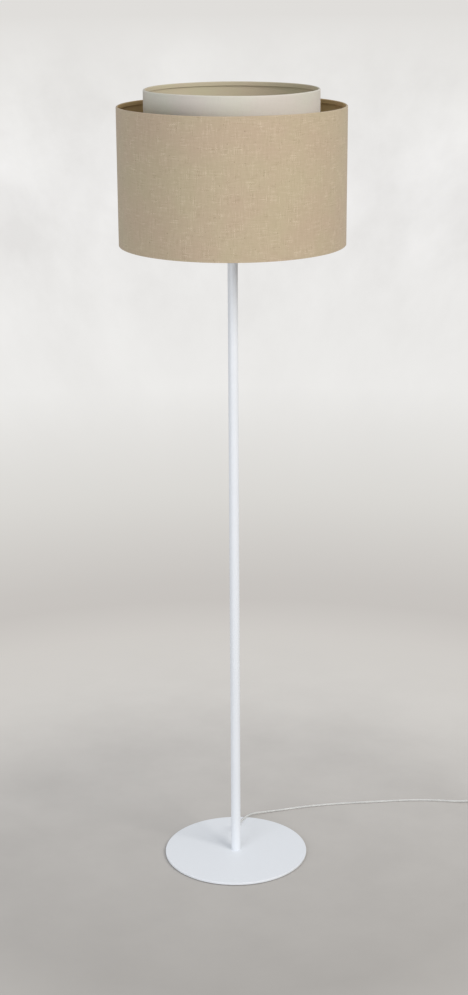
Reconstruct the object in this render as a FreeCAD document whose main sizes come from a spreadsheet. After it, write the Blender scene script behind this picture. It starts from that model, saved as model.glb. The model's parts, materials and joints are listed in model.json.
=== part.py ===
import FreeCAD, Part
import math
import os
import re
import Sketcher

# A column floor lamp: a round plate, a slim tube and two drum shades, one inside the other.
# Millimetres, +Z up, origin on the floor under the middle of the plate, rear towards +Y.

# ---------------------------------------------------------------- driving dimensions
SIZES = {
    # play between pieces
    "fit": 0.05,                  # pressed, screwed or glued pieces
    "play": 0.3,                  # pieces that move past each other
    # base
    "pad_diameter": 16,
    "pad_thickness": 1.5,
    "pad_circle": 256,
    "plate_diameter": 300,
    "plate_thickness": 5,
    "screw_diameter": 8,
    "screw_head_diameter": 16,
    "screw_length": 20,
    "screw_sinks": 0.2,
    "screw_socket": 5,
    # column
    "column_diameter": 20,
    "column_wall": 1.2,
    "column_length": 1290,
    "foot_insert_length": 20,
    "top_insert_length": 14,
    "top_insert_flange": 1.5,
    "nipple_diameter": 10,
    "nipple_bore": 7.5,
    "nipple_length": 22,
    "nipple_reach": 4,
    "nut_width": 14,
    "nut_thickness": 3,
    # cord exit
    "cord_diameter": 5,
    "exit_rise": 33.5,
    "relief_barrel": 8.9,
    "relief_flange": 13,
    "relief_flange_depth": 3,
    "relief_root": 10,
    "relief_tip": 6.6,
    "relief_length": 20,
    "inner_bend": 7.5,
    # lamp holder
    "holder_diameter": 40,
    "holder_wall": 2,
    "holder_neck_diameter": 20,
    "cap_height": 25,
    "cap_floor": 3,
    "cap_cone": 15,
    "skirt_height": 9,
    "shoulder_diameter": 46,
    "shoulder_thickness": 3,
    "neck_height": 24,
    "neck_wall": 5.8,
    "block_height": 10,
    "block_gap": 1,
    "contact_length": 12,
    "contact_width": 6,
    "contact_rise": 2,
    "contact_thickness": 0.6,
    # shade ring and frame
    "frame_bore": 42,
    "frame_hub_diameter": 56,
    "frame_thickness": 2,
    "spoke_width": 6,
    "brace_foot": 16,
    "brace_lead": 32,
    "shade_ring_diameter": 49,
    "shade_ring_height": 6,
    # shades
    "cloth": 0.8,
    "wire": 3,
    "hem_depth": 8,
    "inner_shade_diameter": 336,
    "inner_shade_height": 263,
    "outer_shade_diameter": 440,
    "outer_shade_height": 263,
    "shade_step": 31,
    # bulb
    "bulb_cap_diameter": 26.4,
    "bulb_cap_length": 26,
    "bulb_diameter": 60,
    "bulb_length": 110,
    "bulb_neck_diameter": 29,
    # foot switch
    "switch_length": 66,
    "switch_width": 40,
    "switch_base_height": 9,
    "switch_height": 22,
    "switch_corner": 12,
    "switch_wall": 2,
    "switch_edge": 2.5,
    "switch_floor": 3,
    "switch_reach": 598,
    "switch_offset": 223,
    "switch_cord_height": 6,
    "button_diameter": 20,
    "button_rise": 3.5,
    "button_travel": 2.5,
    "button_flange": 2,
    "core_length": 20,
    "core_width": 14,
    "switch_screw_diameter": 3,
    "switch_screw_head": 5.6,
    "switch_screw_length": 14,
    "switch_screw_spread": 46,
    "switch_head_height": 1.5,
    "switch_seat_depth": 1.8,
    "switch_relief_root": 8.8,
    # plug
    "plug_width": 35.3,
    "plug_thickness": 13.7,
    "plug_depth": 36,
    "plug_edge": 2,
    "plug_neck": 12,
    "plug_taper": 16,
    "plug_reach": 731,
    "plug_offset": 108,
    "plug_relief_length": 25,
    "plug_relief_root": 9.6,
    "pin_diameter": 4,
    "pin_length": 19,
    "pin_spacing": 18.6,
    "pin_tip": 1,
    # coil of put-away cord
    "coil_diameter": 60,
    "coil_pitch": 5.6,
    "coil_rise": 5.5,
    "coil_reach": 699,
    "coil_offset": 184,
}

# ---------------------------------------------------------------- places worked out from them
PLACES = {
    "plate_top": "pad_thickness + plate_thickness",
    "column_radius": "column_diameter / 2",
    "bore_radius": "column_radius - column_wall",
    "column_top": "plate_top + column_length",
    "exit_height": "plate_top + exit_rise",
    "relief_start": "column_radius + relief_flange_depth",
    "exit_reach": "relief_start + relief_length",
    "flange_top": "column_top + top_insert_flange",
    "holder_bottom": "flange_top + nut_thickness",
    "nipple_top": "holder_bottom + cap_floor + nipple_reach",
    "cap_bend": "holder_bottom + cap_cone",
    "cap_top": "holder_bottom + cap_height",
    "skirt_top": "cap_top + skirt_height",
    "shoulder": "skirt_top + shoulder_thickness",
    "holder_top": "shoulder + neck_height",
    "holder_radius": "holder_diameter / 2",
    "neck_radius": "holder_radius - fit",
    "neck_bore": "neck_radius - neck_wall",
    "block_top": "skirt_top - block_gap",
    "frame_top": "shoulder + frame_thickness",
    "spoke_level": "shoulder + frame_thickness / 2",
    "inner_bottom": "spoke_level - wire / 2 - cloth - fit",
    "inner_top": "inner_bottom + inner_shade_height",
    "outer_bottom": "inner_bottom - shade_step",
    "outer_top": "outer_bottom + outer_shade_height",
    "bulb_tip": "block_top + contact_rise + play",
    "bulb_start": "bulb_tip + bulb_cap_length",
    "button_top": "switch_height + button_rise",
    "roof": "switch_height - switch_wall",
    "button_flange_top": "roof - play",
    "button_bottom": "button_flange_top - button_flange",
    "core_top": "button_bottom - button_travel - play",
    "tip_radius": "relief_tip / 2",
    "cord_radius": "cord_diameter / 2",
    "switch_relief_end": "switch_length / 2 + relief_length",
}

WORD = re.compile(r"[a-z][a-z_]*")
UP = FreeCAD.Vector(0, 0, 1)
CORD_SIDES = 6
COIL_SIDES = 4
COIL_TURNS = 3.25
COIL_END_RUN = 13
SPOKES = 3
SPOKE_ANGLE = 90
PADS = 6
FLATS = 24
GRIP_FLATS = FLATS // 2
HUB_FLATS = 36
WIRE_FLATS = 48

document = FreeCAD.newDocument("ColumnFloorLamp")
sheet = document.addObject("Spreadsheet::Sheet", "Sizes")
for row, (size_name, size) in enumerate(SIZES.items(), start=1):
    sheet.set(f"A{row}", size_name)
    sheet.set(f"B{row}", str(size))
    sheet.setAlias(f"B{row}", size_name)
document.recompute()
subparts = []


# ---------------------------------------------------------------- helpers
def formula(text):
    """A formula in the words of SIZES and PLACES, as one that the document can solve."""

    def swap(match):
        word = match.group(0)
        if word in PLACES:
            return "(" + formula(PLACES[word]) + ")"
        return "Sizes." + word if word in SIZES else word

    return WORD.sub(swap, str(text))


def number(text):
    """The value of a formula, in millimetres."""
    solved = sheet.evalExpression(formula(text))
    return float(getattr(solved, "Value", solved))


def bind(thing, **formulas):
    """Ties properties of an object to formulas. A double underscore stands for a dot."""
    for name, text in formulas.items():
        thing.setExpression(name.replace("__", "."), formula(text))
    return thing


def place(thing, x=0, y=0, z=0, turn=0, about=(0, 0, 1)):
    """Stands an object at a place given by formulas, turned by some degrees about an axis."""
    thing.Placement = FreeCAD.Placement(FreeCAD.Vector(), FreeCAD.Rotation(FreeCAD.Vector(*about), turn))
    return bind(thing, Placement__Base__x=x, Placement__Base__y=y, Placement__Base__z=z)


def keep(thing, name):
    """Names an object as a finished sub-part."""
    thing.Label = name
    subparts.append(thing)
    return thing


def body(name):
    """An empty body that becomes the sub-part of that name."""
    return keep(document.addObject("PartDesign::Body", name + "_body"), name)


def sketch(owner, name, plane):
    """An empty sketch on one of the body's own origin planes."""
    drawn = owner.newObject("Sketcher::SketchObject", name)
    support = next(f for f in owner.Origin.OriginFeatures if f.Role == plane)
    drawn.AttachmentSupport = [(support, "")]
    drawn.MapMode = "FlatFace"
    return drawn


def tie(drawn, kind, where, text):
    """Adds a sized constraint to a sketch and ties it to a formula."""
    index = drawn.addConstraint(Sketcher.Constraint(kind, *where, number(text)))
    drawn.setExpression(f"Constraints[{index}]", formula(text))


def fix(drawn, geometry, point, corner):
    """Holds a point of a sketch at a pair of formulas, measured from the sketch's origin."""
    for kind, text in zip(("DistanceX", "DistanceY"), corner):
        tie(drawn, kind, (-1, 1, geometry, point), text)


def spot(corner):
    """The point that a pair of formulas gives."""
    return FreeCAD.Vector(number(corner[0]), number(corner[1]), 0)


def outline(owner, name, corners, plane="XZ_Plane"):
    """A closed outline of straight lines through corners given by pairs of formulas."""
    drawn = sketch(owner, name, plane)
    points = [spot(corner) for corner in corners]
    for start, end in zip(points, points[1:] + points[:1]):
        drawn.addGeometry(Part.LineSegment(start, end))
    for k, corner in enumerate(corners):
        drawn.addConstraint(Sketcher.Constraint("Coincident", (k - 1) % len(corners), 2, k, 1))
        fix(drawn, k, 1, corner)
    return drawn


def circle(owner, name, radius, centre, plane):
    """A circle, centred where a pair of formulas says."""
    drawn = sketch(owner, name, plane)
    drawn.addGeometry(Part.Circle(spot(centre), UP, number(radius)))
    tie(drawn, "Radius", (0,), radius)
    fix(drawn, 0, 3, centre)
    return drawn


def polygon(owner, name, sides, radius, x="0", low=0):
    """A regular polygon about a point of the X axis, at a height."""
    drawn = outline(owner, name, [
        (f"{x} + ({radius}) * cos({k * 360 / sides} deg)", f"({radius}) * sin({k * 360 / sides} deg)")
        for k in range(sides)
    ], plane="XY_Plane")
    return bind(drawn, AttachmentOffset__Base__z=low)


def cornered(owner, name, length, width, corner, low=0):
    """A rectangle about the origin with its corners cut off, at a height."""
    far, wide = f"({length}) / 2", f"({width}) / 2"
    drawn = outline(owner, name, [
        (f"{far} - {corner}", f"-{wide}"), (far, f"{corner} - {wide}"),
        (far, f"{wide} - {corner}"), (f"{far} - {corner}", wide),
        (f"{corner} - {far}", wide), (f"-{far}", f"{wide} - {corner}"),
        (f"-{far}", f"{corner} - {wide}"), (f"{corner} - {far}", f"-{wide}"),
    ], plane="XY_Plane")
    return bind(drawn, AttachmentOffset__Base__z=low)


def revolve(owner, name, corners):
    """A solid of revolution from an outline of radius and height pairs."""
    drawn = outline(owner, name + "_outline", corners)
    turned = owner.newObject("PartDesign::Revolution", name)
    turned.Profile = drawn
    turned.ReferenceAxis = (drawn, ["V_Axis"])
    turned.Angle = 360
    drawn.Visibility = False
    return turned


def extrude(owner, name, drawn, length, kind="PartDesign::Pad", both_ways=False, backwards=False):
    """A pad or a pocket of a sketch."""
    made = owner.newObject(kind, name)
    made.Profile = drawn
    made.Midplane = both_ways
    made.Reversed = backwards
    bind(made, Length=length)
    return made


def edge_names(feature, wanted):
    """The names of a feature's edges that pass a test."""
    return [f"Edge{k}" for k, edge in enumerate(feature.Shape.Edges, start=1) if wanted(edge)]


def chamfer(owner, name, wanted, size):
    """A chamfer along those edges of the body that pass a test."""
    document.recompute()
    base = owner.Tip
    dressed = owner.newObject("PartDesign::Chamfer", name)
    dressed.Base = (base, edge_names(base, wanted))
    return bind(dressed, Size=size)


def level(height):
    """A test for edges that lie flat at a height given by a formula."""
    wanted = number(height)
    return lambda edge: all(abs(z - wanted) < 1e-4 for z in (edge.BoundBox.ZMin, edge.BoundBox.ZMax))


def cylinder(name, radius, height, **where):
    """A plain cylinder."""
    return place(bind(document.addObject("Part::Cylinder", name), Radius=radius, Height=height), **where)


def prism(name, sides, circumradius, height, **where):
    """A plain regular prism."""
    made = document.addObject("Part::Prism", name)
    made.Polygon = sides
    return place(bind(made, Circumradius=circumradius, Height=height), **where)


def flat_sided(name, corners, sides=FLATS, **where):
    """A form like a turned one, but with flat sides all round: each side is a row of flat faces
    between the corners, which are pairs of formulas for the radius and the height."""
    rings = []
    for radius, height in corners:
        reach, rise = number(radius), number(height)
        angles = [2 * math.pi * k / sides for k in range(sides)]
        rings.append([FreeCAD.Vector(reach * math.cos(a), reach * math.sin(a), rise) for a in angles])
    faces = []
    for low, high in zip(rings, rings[1:] + rings[:1]):
        for k in range(sides):
            following = (k + 1) % sides
            square = [low[k], low[following], high[following], high[k]]
            distinct = [p for k, p in enumerate(square) if p.distanceToPoint(square[k - 1]) > 1e-6]
            if len(distinct) > 2:
                faces.append(Part.Face(Part.makePolygon(distinct + distinct[:1])))
    made = document.addObject("Part::Feature", name)
    made.Shape = Part.makeSolid(Part.makeShell(faces))
    return place(made, **where)


def taper(name, foot, top, length, **where):
    """A moulded relief that narrows along its length."""
    return flat_sided(name, [("0", "0"), (foot, "0"), (top, length), ("0", length)], GRIP_FLATS, **where)


def cut(name, base, tool):
    """One solid less another."""
    made = document.addObject("Part::Cut", name)
    made.Base = base
    made.Tool = tool
    return made


def fuse(name, *solids):
    """Several solids as one."""
    made = document.addObject("Part::MultiFuse", name)
    made.Shapes = list(solids)
    return made


def group(name, solids):
    """Separate solids that share one node."""
    made = document.addObject("Part::Compound", name + "_group")
    made.Links = list(solids)
    return keep(made, name)


# ---------------------------------------------------------------- base
group("base_pads", [
    prism(f"pad_{k + 1}", GRIP_FLATS, "pad_diameter / 2", "pad_thickness",
          x=f"pad_circle / 2 * cos({k * 360 / PADS} deg)",
          y=f"pad_circle / 2 * sin({k * 360 / PADS} deg)")
    for k in range(PADS)
])

plate = body("base_plate")
head_depth = "(screw_head_diameter - screw_diameter) / 2"
revolve(plate, "plate_disc", [
    ("screw_diameter / 2 + 2 * fit", "pad_thickness + screw_sinks + " + head_depth),
    ("screw_head_diameter / 2 + 2 * fit", "pad_thickness + screw_sinks"),
    ("screw_head_diameter / 2 + 2 * fit", "pad_thickness"),
    ("plate_diameter / 2", "pad_thickness"),
    ("plate_diameter / 2", "plate_top"),
    ("screw_diameter / 2 + 2 * fit", "plate_top"),
])

screw_bottom = "pad_thickness + screw_sinks"
screw_blank = flat_sided("screw_blank", [
    ("0", screw_bottom),
    ("screw_head_diameter / 2", screw_bottom),
    ("screw_diameter / 2", f"{screw_bottom} + {head_depth}"),
    ("screw_diameter / 2", f"{screw_bottom} + screw_length"),
    ("0", f"{screw_bottom} + screw_length"),
])
screw_socket = prism("screw_socket", 6, "screw_socket / sqrt(3)", "screw_socket * 0.6", z=screw_bottom)
keep(cut("screw_with_socket", screw_blank, screw_socket), "base_screw")

# ---------------------------------------------------------------- column
tube = body("column_tube")
revolve(tube, "tube_wall", [
    ("bore_radius", "plate_top"),
    ("column_radius", "plate_top"),
    ("column_radius", "column_top"),
    ("bore_radius", "column_top"),
])
exit_hole = circle(tube, "exit_circle", "relief_barrel / 2 + fit", ("0", "exit_height"), "XZ_Plane")
extrude(tube, "exit_hole", exit_hole, "column_diameter", "PartDesign::Pocket")

def bush(name, bore, radius, low, high):
    """A plain bush, from its bore and outer radius and its two heights."""
    keep(flat_sided(name + "_form", [(bore, low), (radius, low), (radius, high), (bore, high)]), name)


bush("foot_insert", "screw_diameter / 2 + fit", "bore_radius - fit", "plate_top",
     "plate_top + foot_insert_length")
keep(flat_sided("top_bush", [
    ("nipple_diameter / 2 + fit", "column_top - top_insert_length"),
    ("bore_radius - fit", "column_top - top_insert_length"),
    ("bore_radius - fit", "column_top"),
    ("column_radius", "column_top"),
    ("column_radius", "flange_top"),
    ("nipple_diameter / 2 + fit", "flange_top"),
]), "top_insert")
bush("threaded_nipple", "nipple_bore / 2", "nipple_diameter / 2", "nipple_top - nipple_length", "nipple_top")

nut_blank = prism("nut_blank", 6, "nut_width / sqrt(3)", "nut_thickness", z="flange_top")
nut_bore = prism("nut_bore", FLATS, "nipple_diameter / 2 + fit", "nut_thickness", z="flange_top")
keep(cut("nut", nut_blank, nut_bore), "lock_nut")

# ---------------------------------------------------------------- cord exit behind the column
REARWARD = dict(z="exit_height", turn=-90, about=(1, 0, 0))
flange = prism("relief_flange_disc", GRIP_FLATS, "relief_flange / 2", "2 * relief_flange_depth",
               y="column_radius - relief_flange_depth", **REARWARD)
column_surface = cylinder("column_surface", "column_radius + fit", "2 * relief_flange",
                          z="exit_height - relief_flange")
relief_taper = taper("relief_taper", "relief_root / 2", "tip_radius", "relief_length",
                     y="relief_start", **REARWARD)
relief_neck = prism("relief_neck", GRIP_FLATS, "relief_barrel / 2",
                    "relief_start - bore_radius + column_wall", y="bore_radius - column_wall", **REARWARD)
relief_solid = fuse("relief_solid", cut("relief_seat", flange, column_surface), relief_taper, relief_neck)
relief_bore = prism("relief_bore", GRIP_FLATS, "cord_radius + 4 * fit", "exit_reach", **REARWARD)
keep(cut("relief", relief_solid, relief_bore), "cord_relief")

# ---------------------------------------------------------------- lamp holder
keep(flat_sided("cap_shell", [
    ("nipple_diameter / 2 + fit", "holder_bottom"),
    ("holder_neck_diameter / 2", "holder_bottom"),
    ("holder_radius", "cap_bend"),
    ("holder_radius", "cap_top"),
    ("holder_radius - holder_wall", "cap_top"),
    ("holder_radius - holder_wall", "cap_bend + holder_wall / 2"),
    ("holder_neck_diameter / 2", "holder_bottom + cap_floor"),
    ("nipple_diameter / 2 + fit", "holder_bottom + cap_floor"),
]), "holder_cap")

keep(flat_sided("shell_form", [
    ("neck_bore", "cap_top"),
    ("holder_radius", "cap_top"),
    ("holder_radius", "skirt_top"),
    ("shoulder_diameter / 2", "skirt_top"),
    ("shoulder_diameter / 2", "shoulder"),
    ("neck_radius", "shoulder"),
    ("neck_radius", "holder_top"),
    ("neck_bore", "holder_top"),
]), "holder_shell")

keep(prism("contact_block_form", FLATS, "neck_bore - fit", "block_height", z="block_top - block_height"),
     "contact_block")

contact = body("centre_contact")
extrude(contact, "contact_strip", outline(contact, "contact_side", [
    ("-contact_length / 2", "block_top"),
    ("contact_length / 2", "block_top"),
    ("contact_length / 2", "block_top + contact_thickness"),
    ("contact_length / 4", "block_top + contact_rise"),
    ("0", "block_top + contact_rise"),
    ("-contact_length / 4", "block_top + contact_thickness"),
    ("-contact_length / 2", "block_top + contact_thickness"),
]), "contact_width", both_ways=True)

bush("shade_ring", "neck_radius + fit", "shade_ring_diameter / 2", "frame_top + play",
     "frame_top + play + shade_ring_height")

# ---------------------------------------------------------------- bulb
BULB_FORM = [(0.62, 0.20), (0.87, 0.40), (1.0, 0.62), (0.93, 0.80), (0.58, 0.95), (0.0, 1.0)]
keep(flat_sided("globe", [("0", "bulb_start"), ("bulb_neck_diameter / 2", "bulb_start")] + [
    (f"{share} * bulb_diameter / 2", f"bulb_start + {rise} * (bulb_length - bulb_cap_length)")
    for share, rise in BULB_FORM
]), "bulb_globe")

keep(flat_sided("bulb_thimble", [
    ("0", "bulb_tip"),
    ("bulb_cap_diameter / 6", "bulb_tip"),
    ("bulb_cap_diameter / 2.4", "bulb_tip + bulb_cap_length / 6"),
    ("bulb_cap_diameter / 2", "bulb_tip + bulb_cap_length / 4"),
    ("bulb_cap_diameter / 2", "bulb_start"),
    ("0", "bulb_start"),
]), "bulb_cap")


# ---------------------------------------------------------------- shades
def shade_cover(name, diameter, bottom, top):
    """A cloth drum. Its upper hem turns over the top ring and down inside. The bottom ring is
    glued inside its lower edge."""
    wall = f"({diameter} / 2 - cloth)"
    pocket = f"({diameter} / 2 - cloth - wire - 2 * fit)"
    revolve(body(name), name + "_form", [
        (f"{diameter} / 2", bottom),
        (f"{diameter} / 2", top),
        (f"{pocket} - cloth", top),
        (f"{pocket} - cloth", f"{top} - hem_depth"),
        (pocket, f"{top} - hem_depth"),
        (pocket, f"{top} - cloth"),
        (wall, f"{top} - cloth"),
        (wall, bottom),
    ])


def wire_ring(name, diameter, low):
    """A ring of wire, bent in short flats, with a flat behind the end of each spoke."""
    turn = 180 / WIRE_FLATS
    outer = prism(name + "_outer", WIRE_FLATS, f"{diameter} / 2 - cloth - fit", "wire", z=low, turn=turn)
    inner = prism(name + "_inner", WIRE_FLATS,
                  f"({diameter} / 2 - cloth - fit - wire) / cos({turn} deg)", "wire", z=low, turn=turn)
    keep(cut(name + "_wire", outer, inner), name)


SHADES = {
    "inner_shade": ("inner_shade_diameter", "inner_bottom", "inner_top"),
    "outer_shade": ("outer_shade_diameter", "outer_bottom", "outer_top"),
}
for shade_name, (shade_diameter, shade_bottom, shade_top) in SHADES.items():
    shade_cover(shade_name, shade_diameter, shade_bottom, shade_top)
    wire_ring(shade_name + "_top_ring", shade_diameter, f"{shade_top} - cloth - fit - wire")
    wire_ring(shade_name + "_bottom_ring", shade_diameter, f"{shade_bottom} + cloth + fit")

hub_disc = prism("hub_disc", HUB_FLATS, "frame_hub_diameter / 2", "frame_thickness", z="shoulder",
                 turn=180 / HUB_FLATS)
hub_bore = cylinder("hub_bore", "frame_bore / 2", "frame_thickness", z="shoulder")
keep(cut("hub_with_bore", hub_disc, hub_bore), "frame_hub")

HUB_EDGE = f"(frame_hub_diameter / 2 * cos({180 / HUB_FLATS} deg) + fit)"
INNER_END = "(inner_shade_diameter / 2 - cloth - 2 * fit - wire)"
OUTER_END = "(outer_shade_diameter / 2 - cloth - 2 * fit - wire)"
BRACE_START = "(inner_shade_diameter / 2 - wire - brace_lead)"
BRACE_LEVEL = "(outer_bottom + cloth + fit + wire / 2)"


def spoke(k):
    """A flat arm out to the inner shade's ring, with a brace down to the outer shade's ring."""
    arm = document.addObject("PartDesign::Body", f"spoke_{k}")
    extrude(arm, f"spoke_{k}_arm", outline(arm, f"spoke_{k}_side", [
        (HUB_EDGE, "shoulder"),
        (BRACE_START, "shoulder"),
        (OUTER_END, BRACE_LEVEL + " - frame_thickness / 2"),
        (OUTER_END, BRACE_LEVEL + " + frame_thickness / 2"),
        (BRACE_START + " + brace_foot", "shoulder"),
        (INNER_END, "shoulder"),
        (INNER_END, "frame_top"),
        (HUB_EDGE, "frame_top"),
    ]), "spoke_width", both_ways=True)
    return place(arm, turn=SPOKE_ANGLE + (k - 1) * 360 / SPOKES)


group("frame_spokes", [spoke(k + 1) for k in range(SPOKES)])


# ---------------------------------------------------------------- cords
def bends(points, least=0.45):
    """Straight runs joined by tangent arcs, as edges, with the radius of each arc. An arc takes
    0.45 of the shorter run on either side of its point."""
    edges, radii, last = [], [], points[0]
    for before, at, after in zip(points, points[1:], points[2:]):
        come, go = at - before, after - at
        turn = come.getAngle(go)
        reach = least * min(come.Length, go.Length)
        radii.append(reach / math.tan(turn / 2))
        start, end = at - come.normalize() * reach, at + go.normalize() * reach
        inward = (start + end) * 0.5 - at
        middle = at + inward.normalize() * (radii[-1] / math.cos(turn / 2) - radii[-1])
        edges += [Part.LineSegment(last, start).toShape(), Part.Arc(start, middle, end).toShape()]
        last = end
    edges.append(Part.LineSegment(last, points[-1]).toShape())
    return edges, radii


def tube_along(name, edges, sides=CORD_SIDES, corner="cord_radius"):
    """A cord's solid: a section of flat sides carried along edges that join smoothly. One of the
    flats lies underneath."""
    path = Part.Wire(edges)
    start = edges[0].Vertexes[0].Point
    along = edges[0].tangentAt(edges[0].FirstParameter)
    across = UP.cross(along).normalize()
    over = along.cross(across)
    radius = number(corner)
    ring = []
    for k in range(sides):
        angle = 2 * math.pi * (k + 0.5) / sides - math.pi / 2
        ring.append(start + across * (radius * math.cos(angle)) + over * (radius * math.sin(angle)))
    section = Part.makePolygon(ring + ring[:1])
    solid = path.makePipeShell([section], True, False)
    made = document.addObject("Part::Feature", name + "_solid")
    made.Shape = solid
    area = sides / 2 * radius ** 2 * math.sin(2 * math.pi / sides)
    print(f"{name}: length {path.Length:.1f} mm, volume {solid.Volume / (area * path.Length):.4f} of "
          "section times length")
    return keep(made, name)


def cord(name, points):
    """A cord's node along hand-chosen points."""
    edges, radii = bends([FreeCAD.Vector(*point) for point in points])
    print(f"{name}: radii {[round(radius) for radius in radii]} mm")
    return tube_along(name, edges)


exit_y, exit_z = number("exit_reach"), number("exit_height")
hidden_bend = number("inner_bend")
quarter = hidden_bend * math.sqrt(0.5)
tube_along("cord_inner", [
    Part.LineSegment(FreeCAD.Vector(0, exit_y, exit_z), FreeCAD.Vector(0, hidden_bend, exit_z)).toShape(),
    Part.Arc(FreeCAD.Vector(0, hidden_bend, exit_z),
             FreeCAD.Vector(0, hidden_bend - quarter, exit_z + hidden_bend - quarter),
             FreeCAD.Vector(0, 0, exit_z + hidden_bend)).toShape(),
    Part.LineSegment(FreeCAD.Vector(0, 0, exit_z + hidden_bend),
                     FreeCAD.Vector(0, 0, number("block_top - block_height"))).toShape(),
])

floor_z = number("cord_radius")
plate_z = number("plate_top + cord_radius")
switch_z = number("switch_cord_height")
switch_near = number("switch_reach - switch_relief_end")
switch_far = number("switch_reach + switch_relief_end")
switch_y = number("switch_offset")
cord("cord_run", [
    (0, exit_y, exit_z), (0, exit_y + 20, exit_z), (1.5, exit_y + 44, exit_z - 13),
    (5, exit_y + 67, plate_z + 3.5), (10, 121, plate_z), (21, 143, plate_z + 0.7),
    (36, 163, plate_z - 1.4), (58, 177, floor_z + 1), (99, 189, floor_z), (146, 203.5, floor_z),
    (192, 213.5, floor_z), (246, 222, floor_z), (303, 227, floor_z), (358, 233, floor_z),
    (414, 236.5, floor_z), (460, 233.5, floor_z), (494, 226.5, floor_z + 0.5), (522, switch_y, switch_z),
    (switch_near, switch_y, switch_z),
])


# ---------------------------------------------------------------- coil of put-away cord
def coil_radius(turn):
    """The spiral's radius after some turns: inwards to the middle of the turns, then out."""
    inner = (number("coil_diameter") - number("coil_pitch") * COIL_TURNS / 2) / 2
    return inner + number("coil_pitch") * abs(turn - COIL_TURNS / 2)


def coil_point(turn):
    """A point on the coil's middle line. It climbs a layer in the half turn where it reverses."""
    climb = min(max((turn - COIL_TURNS / 2) * 2 + 0.5, 0), 1)
    angle = math.pi / 2 - 2 * math.pi * turn
    return FreeCAD.Vector(number("coil_reach") + coil_radius(turn) * math.cos(angle),
                          number("coil_offset") + coil_radius(turn) * math.sin(angle),
                          number("cord_radius") + number("coil_rise") * climb)


def coil_tangent(turn, step=1e-4):
    """The direction of the coil's middle line, looking forwards at its start and back at its end."""
    low, high = max(turn - step, 0), min(turn + step, COIL_TURNS)
    return (coil_point(high) - coil_point(low)).normalize()


def arc_from(start, along, end):
    """The arc from one point to another that leaves along a direction."""
    chord = end - start
    half = along.getAngle(chord)
    bow = (chord * (along * chord / chord.Length ** 2) - along).normalize()
    middle = (start + end) * 0.5 + bow * (chord.Length / 2 * math.tan(half / 2)) * -1
    return Part.Arc(start, middle, end).toShape()


def biarc(start, along, end, onwards):
    """Two arcs that join smoothly between two points with given directions."""
    span, both = end - start, along + onwards
    across = 2 * (1 - along * onwards)
    reach = (math.sqrt((span * both) ** 2 + across * span.Length ** 2) - span * both) / across
    joint = (start + along * reach + end - onwards * reach) * 0.5
    at_joint = (end - onwards * reach - start - along * reach).normalize()
    return [arc_from(start, along, joint), arc_from(joint, at_joint, end)]


halves = int(COIL_TURNS)
stops = [0, *[COIL_TURNS / 2 + k / 2 for k in range(-halves, halves + 1)], COIL_TURNS]
coil_start, coil_end = coil_tangent(0), coil_tangent(COIL_TURNS)
straight = number("cord_diameter")
lead_end = coil_point(0) - coil_start * straight
tail_start = coil_point(COIL_TURNS) + coil_end * straight
coil_edges = [Part.LineSegment(lead_end, coil_point(0)).toShape()]
for before, after in zip(stops, stops[1:]):
    coil_edges += biarc(coil_point(before), coil_tangent(before), coil_point(after), coil_tangent(after))
coil_edges.append(Part.LineSegment(coil_point(COIL_TURNS), tail_start).toShape())
tube_along("cord_coil", coil_edges, COIL_SIDES, "cord_radius / cos(45 deg)")

line = [coil_point(k / 180) for k in range(int(COIL_TURNS * 180) + 1)]
least_gap = min(a.distanceToPoint(b) for i, a in enumerate(line[::4]) for b in line[4 * i + 90::2])
print(f"cord_coil: least gap to itself {least_gap - straight:.2f} mm")

lead_side = lead_end - coil_start * COIL_END_RUN
cord("cord_lead", [
    (switch_far, switch_y, switch_z), (switch_far + 12, switch_y, switch_z),
    tuple(lead_side), tuple(lead_end),
])
plug_x, plug_z = number("plug_reach"), number("plug_thickness / 2")
plug_y = number("plug_offset + plug_relief_length")
tail_side = tail_start + coil_end * COIL_END_RUN
cord("cord_tail", [
    tuple(tail_start), tuple(tail_side), (plug_x, plug_y + 14, plug_z), (plug_x, plug_y, plug_z),
])

# ---------------------------------------------------------------- foot switch
AT_SWITCH = dict(x="switch_reach", y="switch_offset")
SCREW_SPOTS = ["switch_screw_spread / 2", "-switch_screw_spread / 2"]
ROOM = ("switch_length - 2 * switch_wall", "switch_width - 2 * switch_wall",
        "(switch_corner - switch_wall * 2 * tan(22.5 deg))")

switch_base = body("switch_base")
tray = cornered(switch_base, "tray_outline", "switch_length", "switch_width", "switch_corner")
extrude(switch_base, "tray", tray, "switch_base_height")
tray_room = cornered(switch_base, "tray_room_outline", *ROOM, low="switch_base_height")
extrude(switch_base, "tray_room", tray_room, "switch_base_height - switch_floor", "PartDesign::Pocket")
for k, across in enumerate(SCREW_SPOTS, start=1):
    hole = polygon(switch_base, f"screw_hole_{k}_outline", GRIP_FLATS,
                   "switch_screw_diameter / 2 + fit", across)
    extrude(switch_base, f"screw_hole_{k}", hole, "switch_floor", "PartDesign::Pocket", backwards=True)
    seat = polygon(switch_base, f"screw_seat_{k}_outline", GRIP_FLATS, "switch_screw_head / 2 + fit", across)
    extrude(switch_base, f"screw_seat_{k}", seat, "switch_seat_depth", "PartDesign::Pocket", backwards=True)
place(switch_base, **AT_SWITCH)

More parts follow.
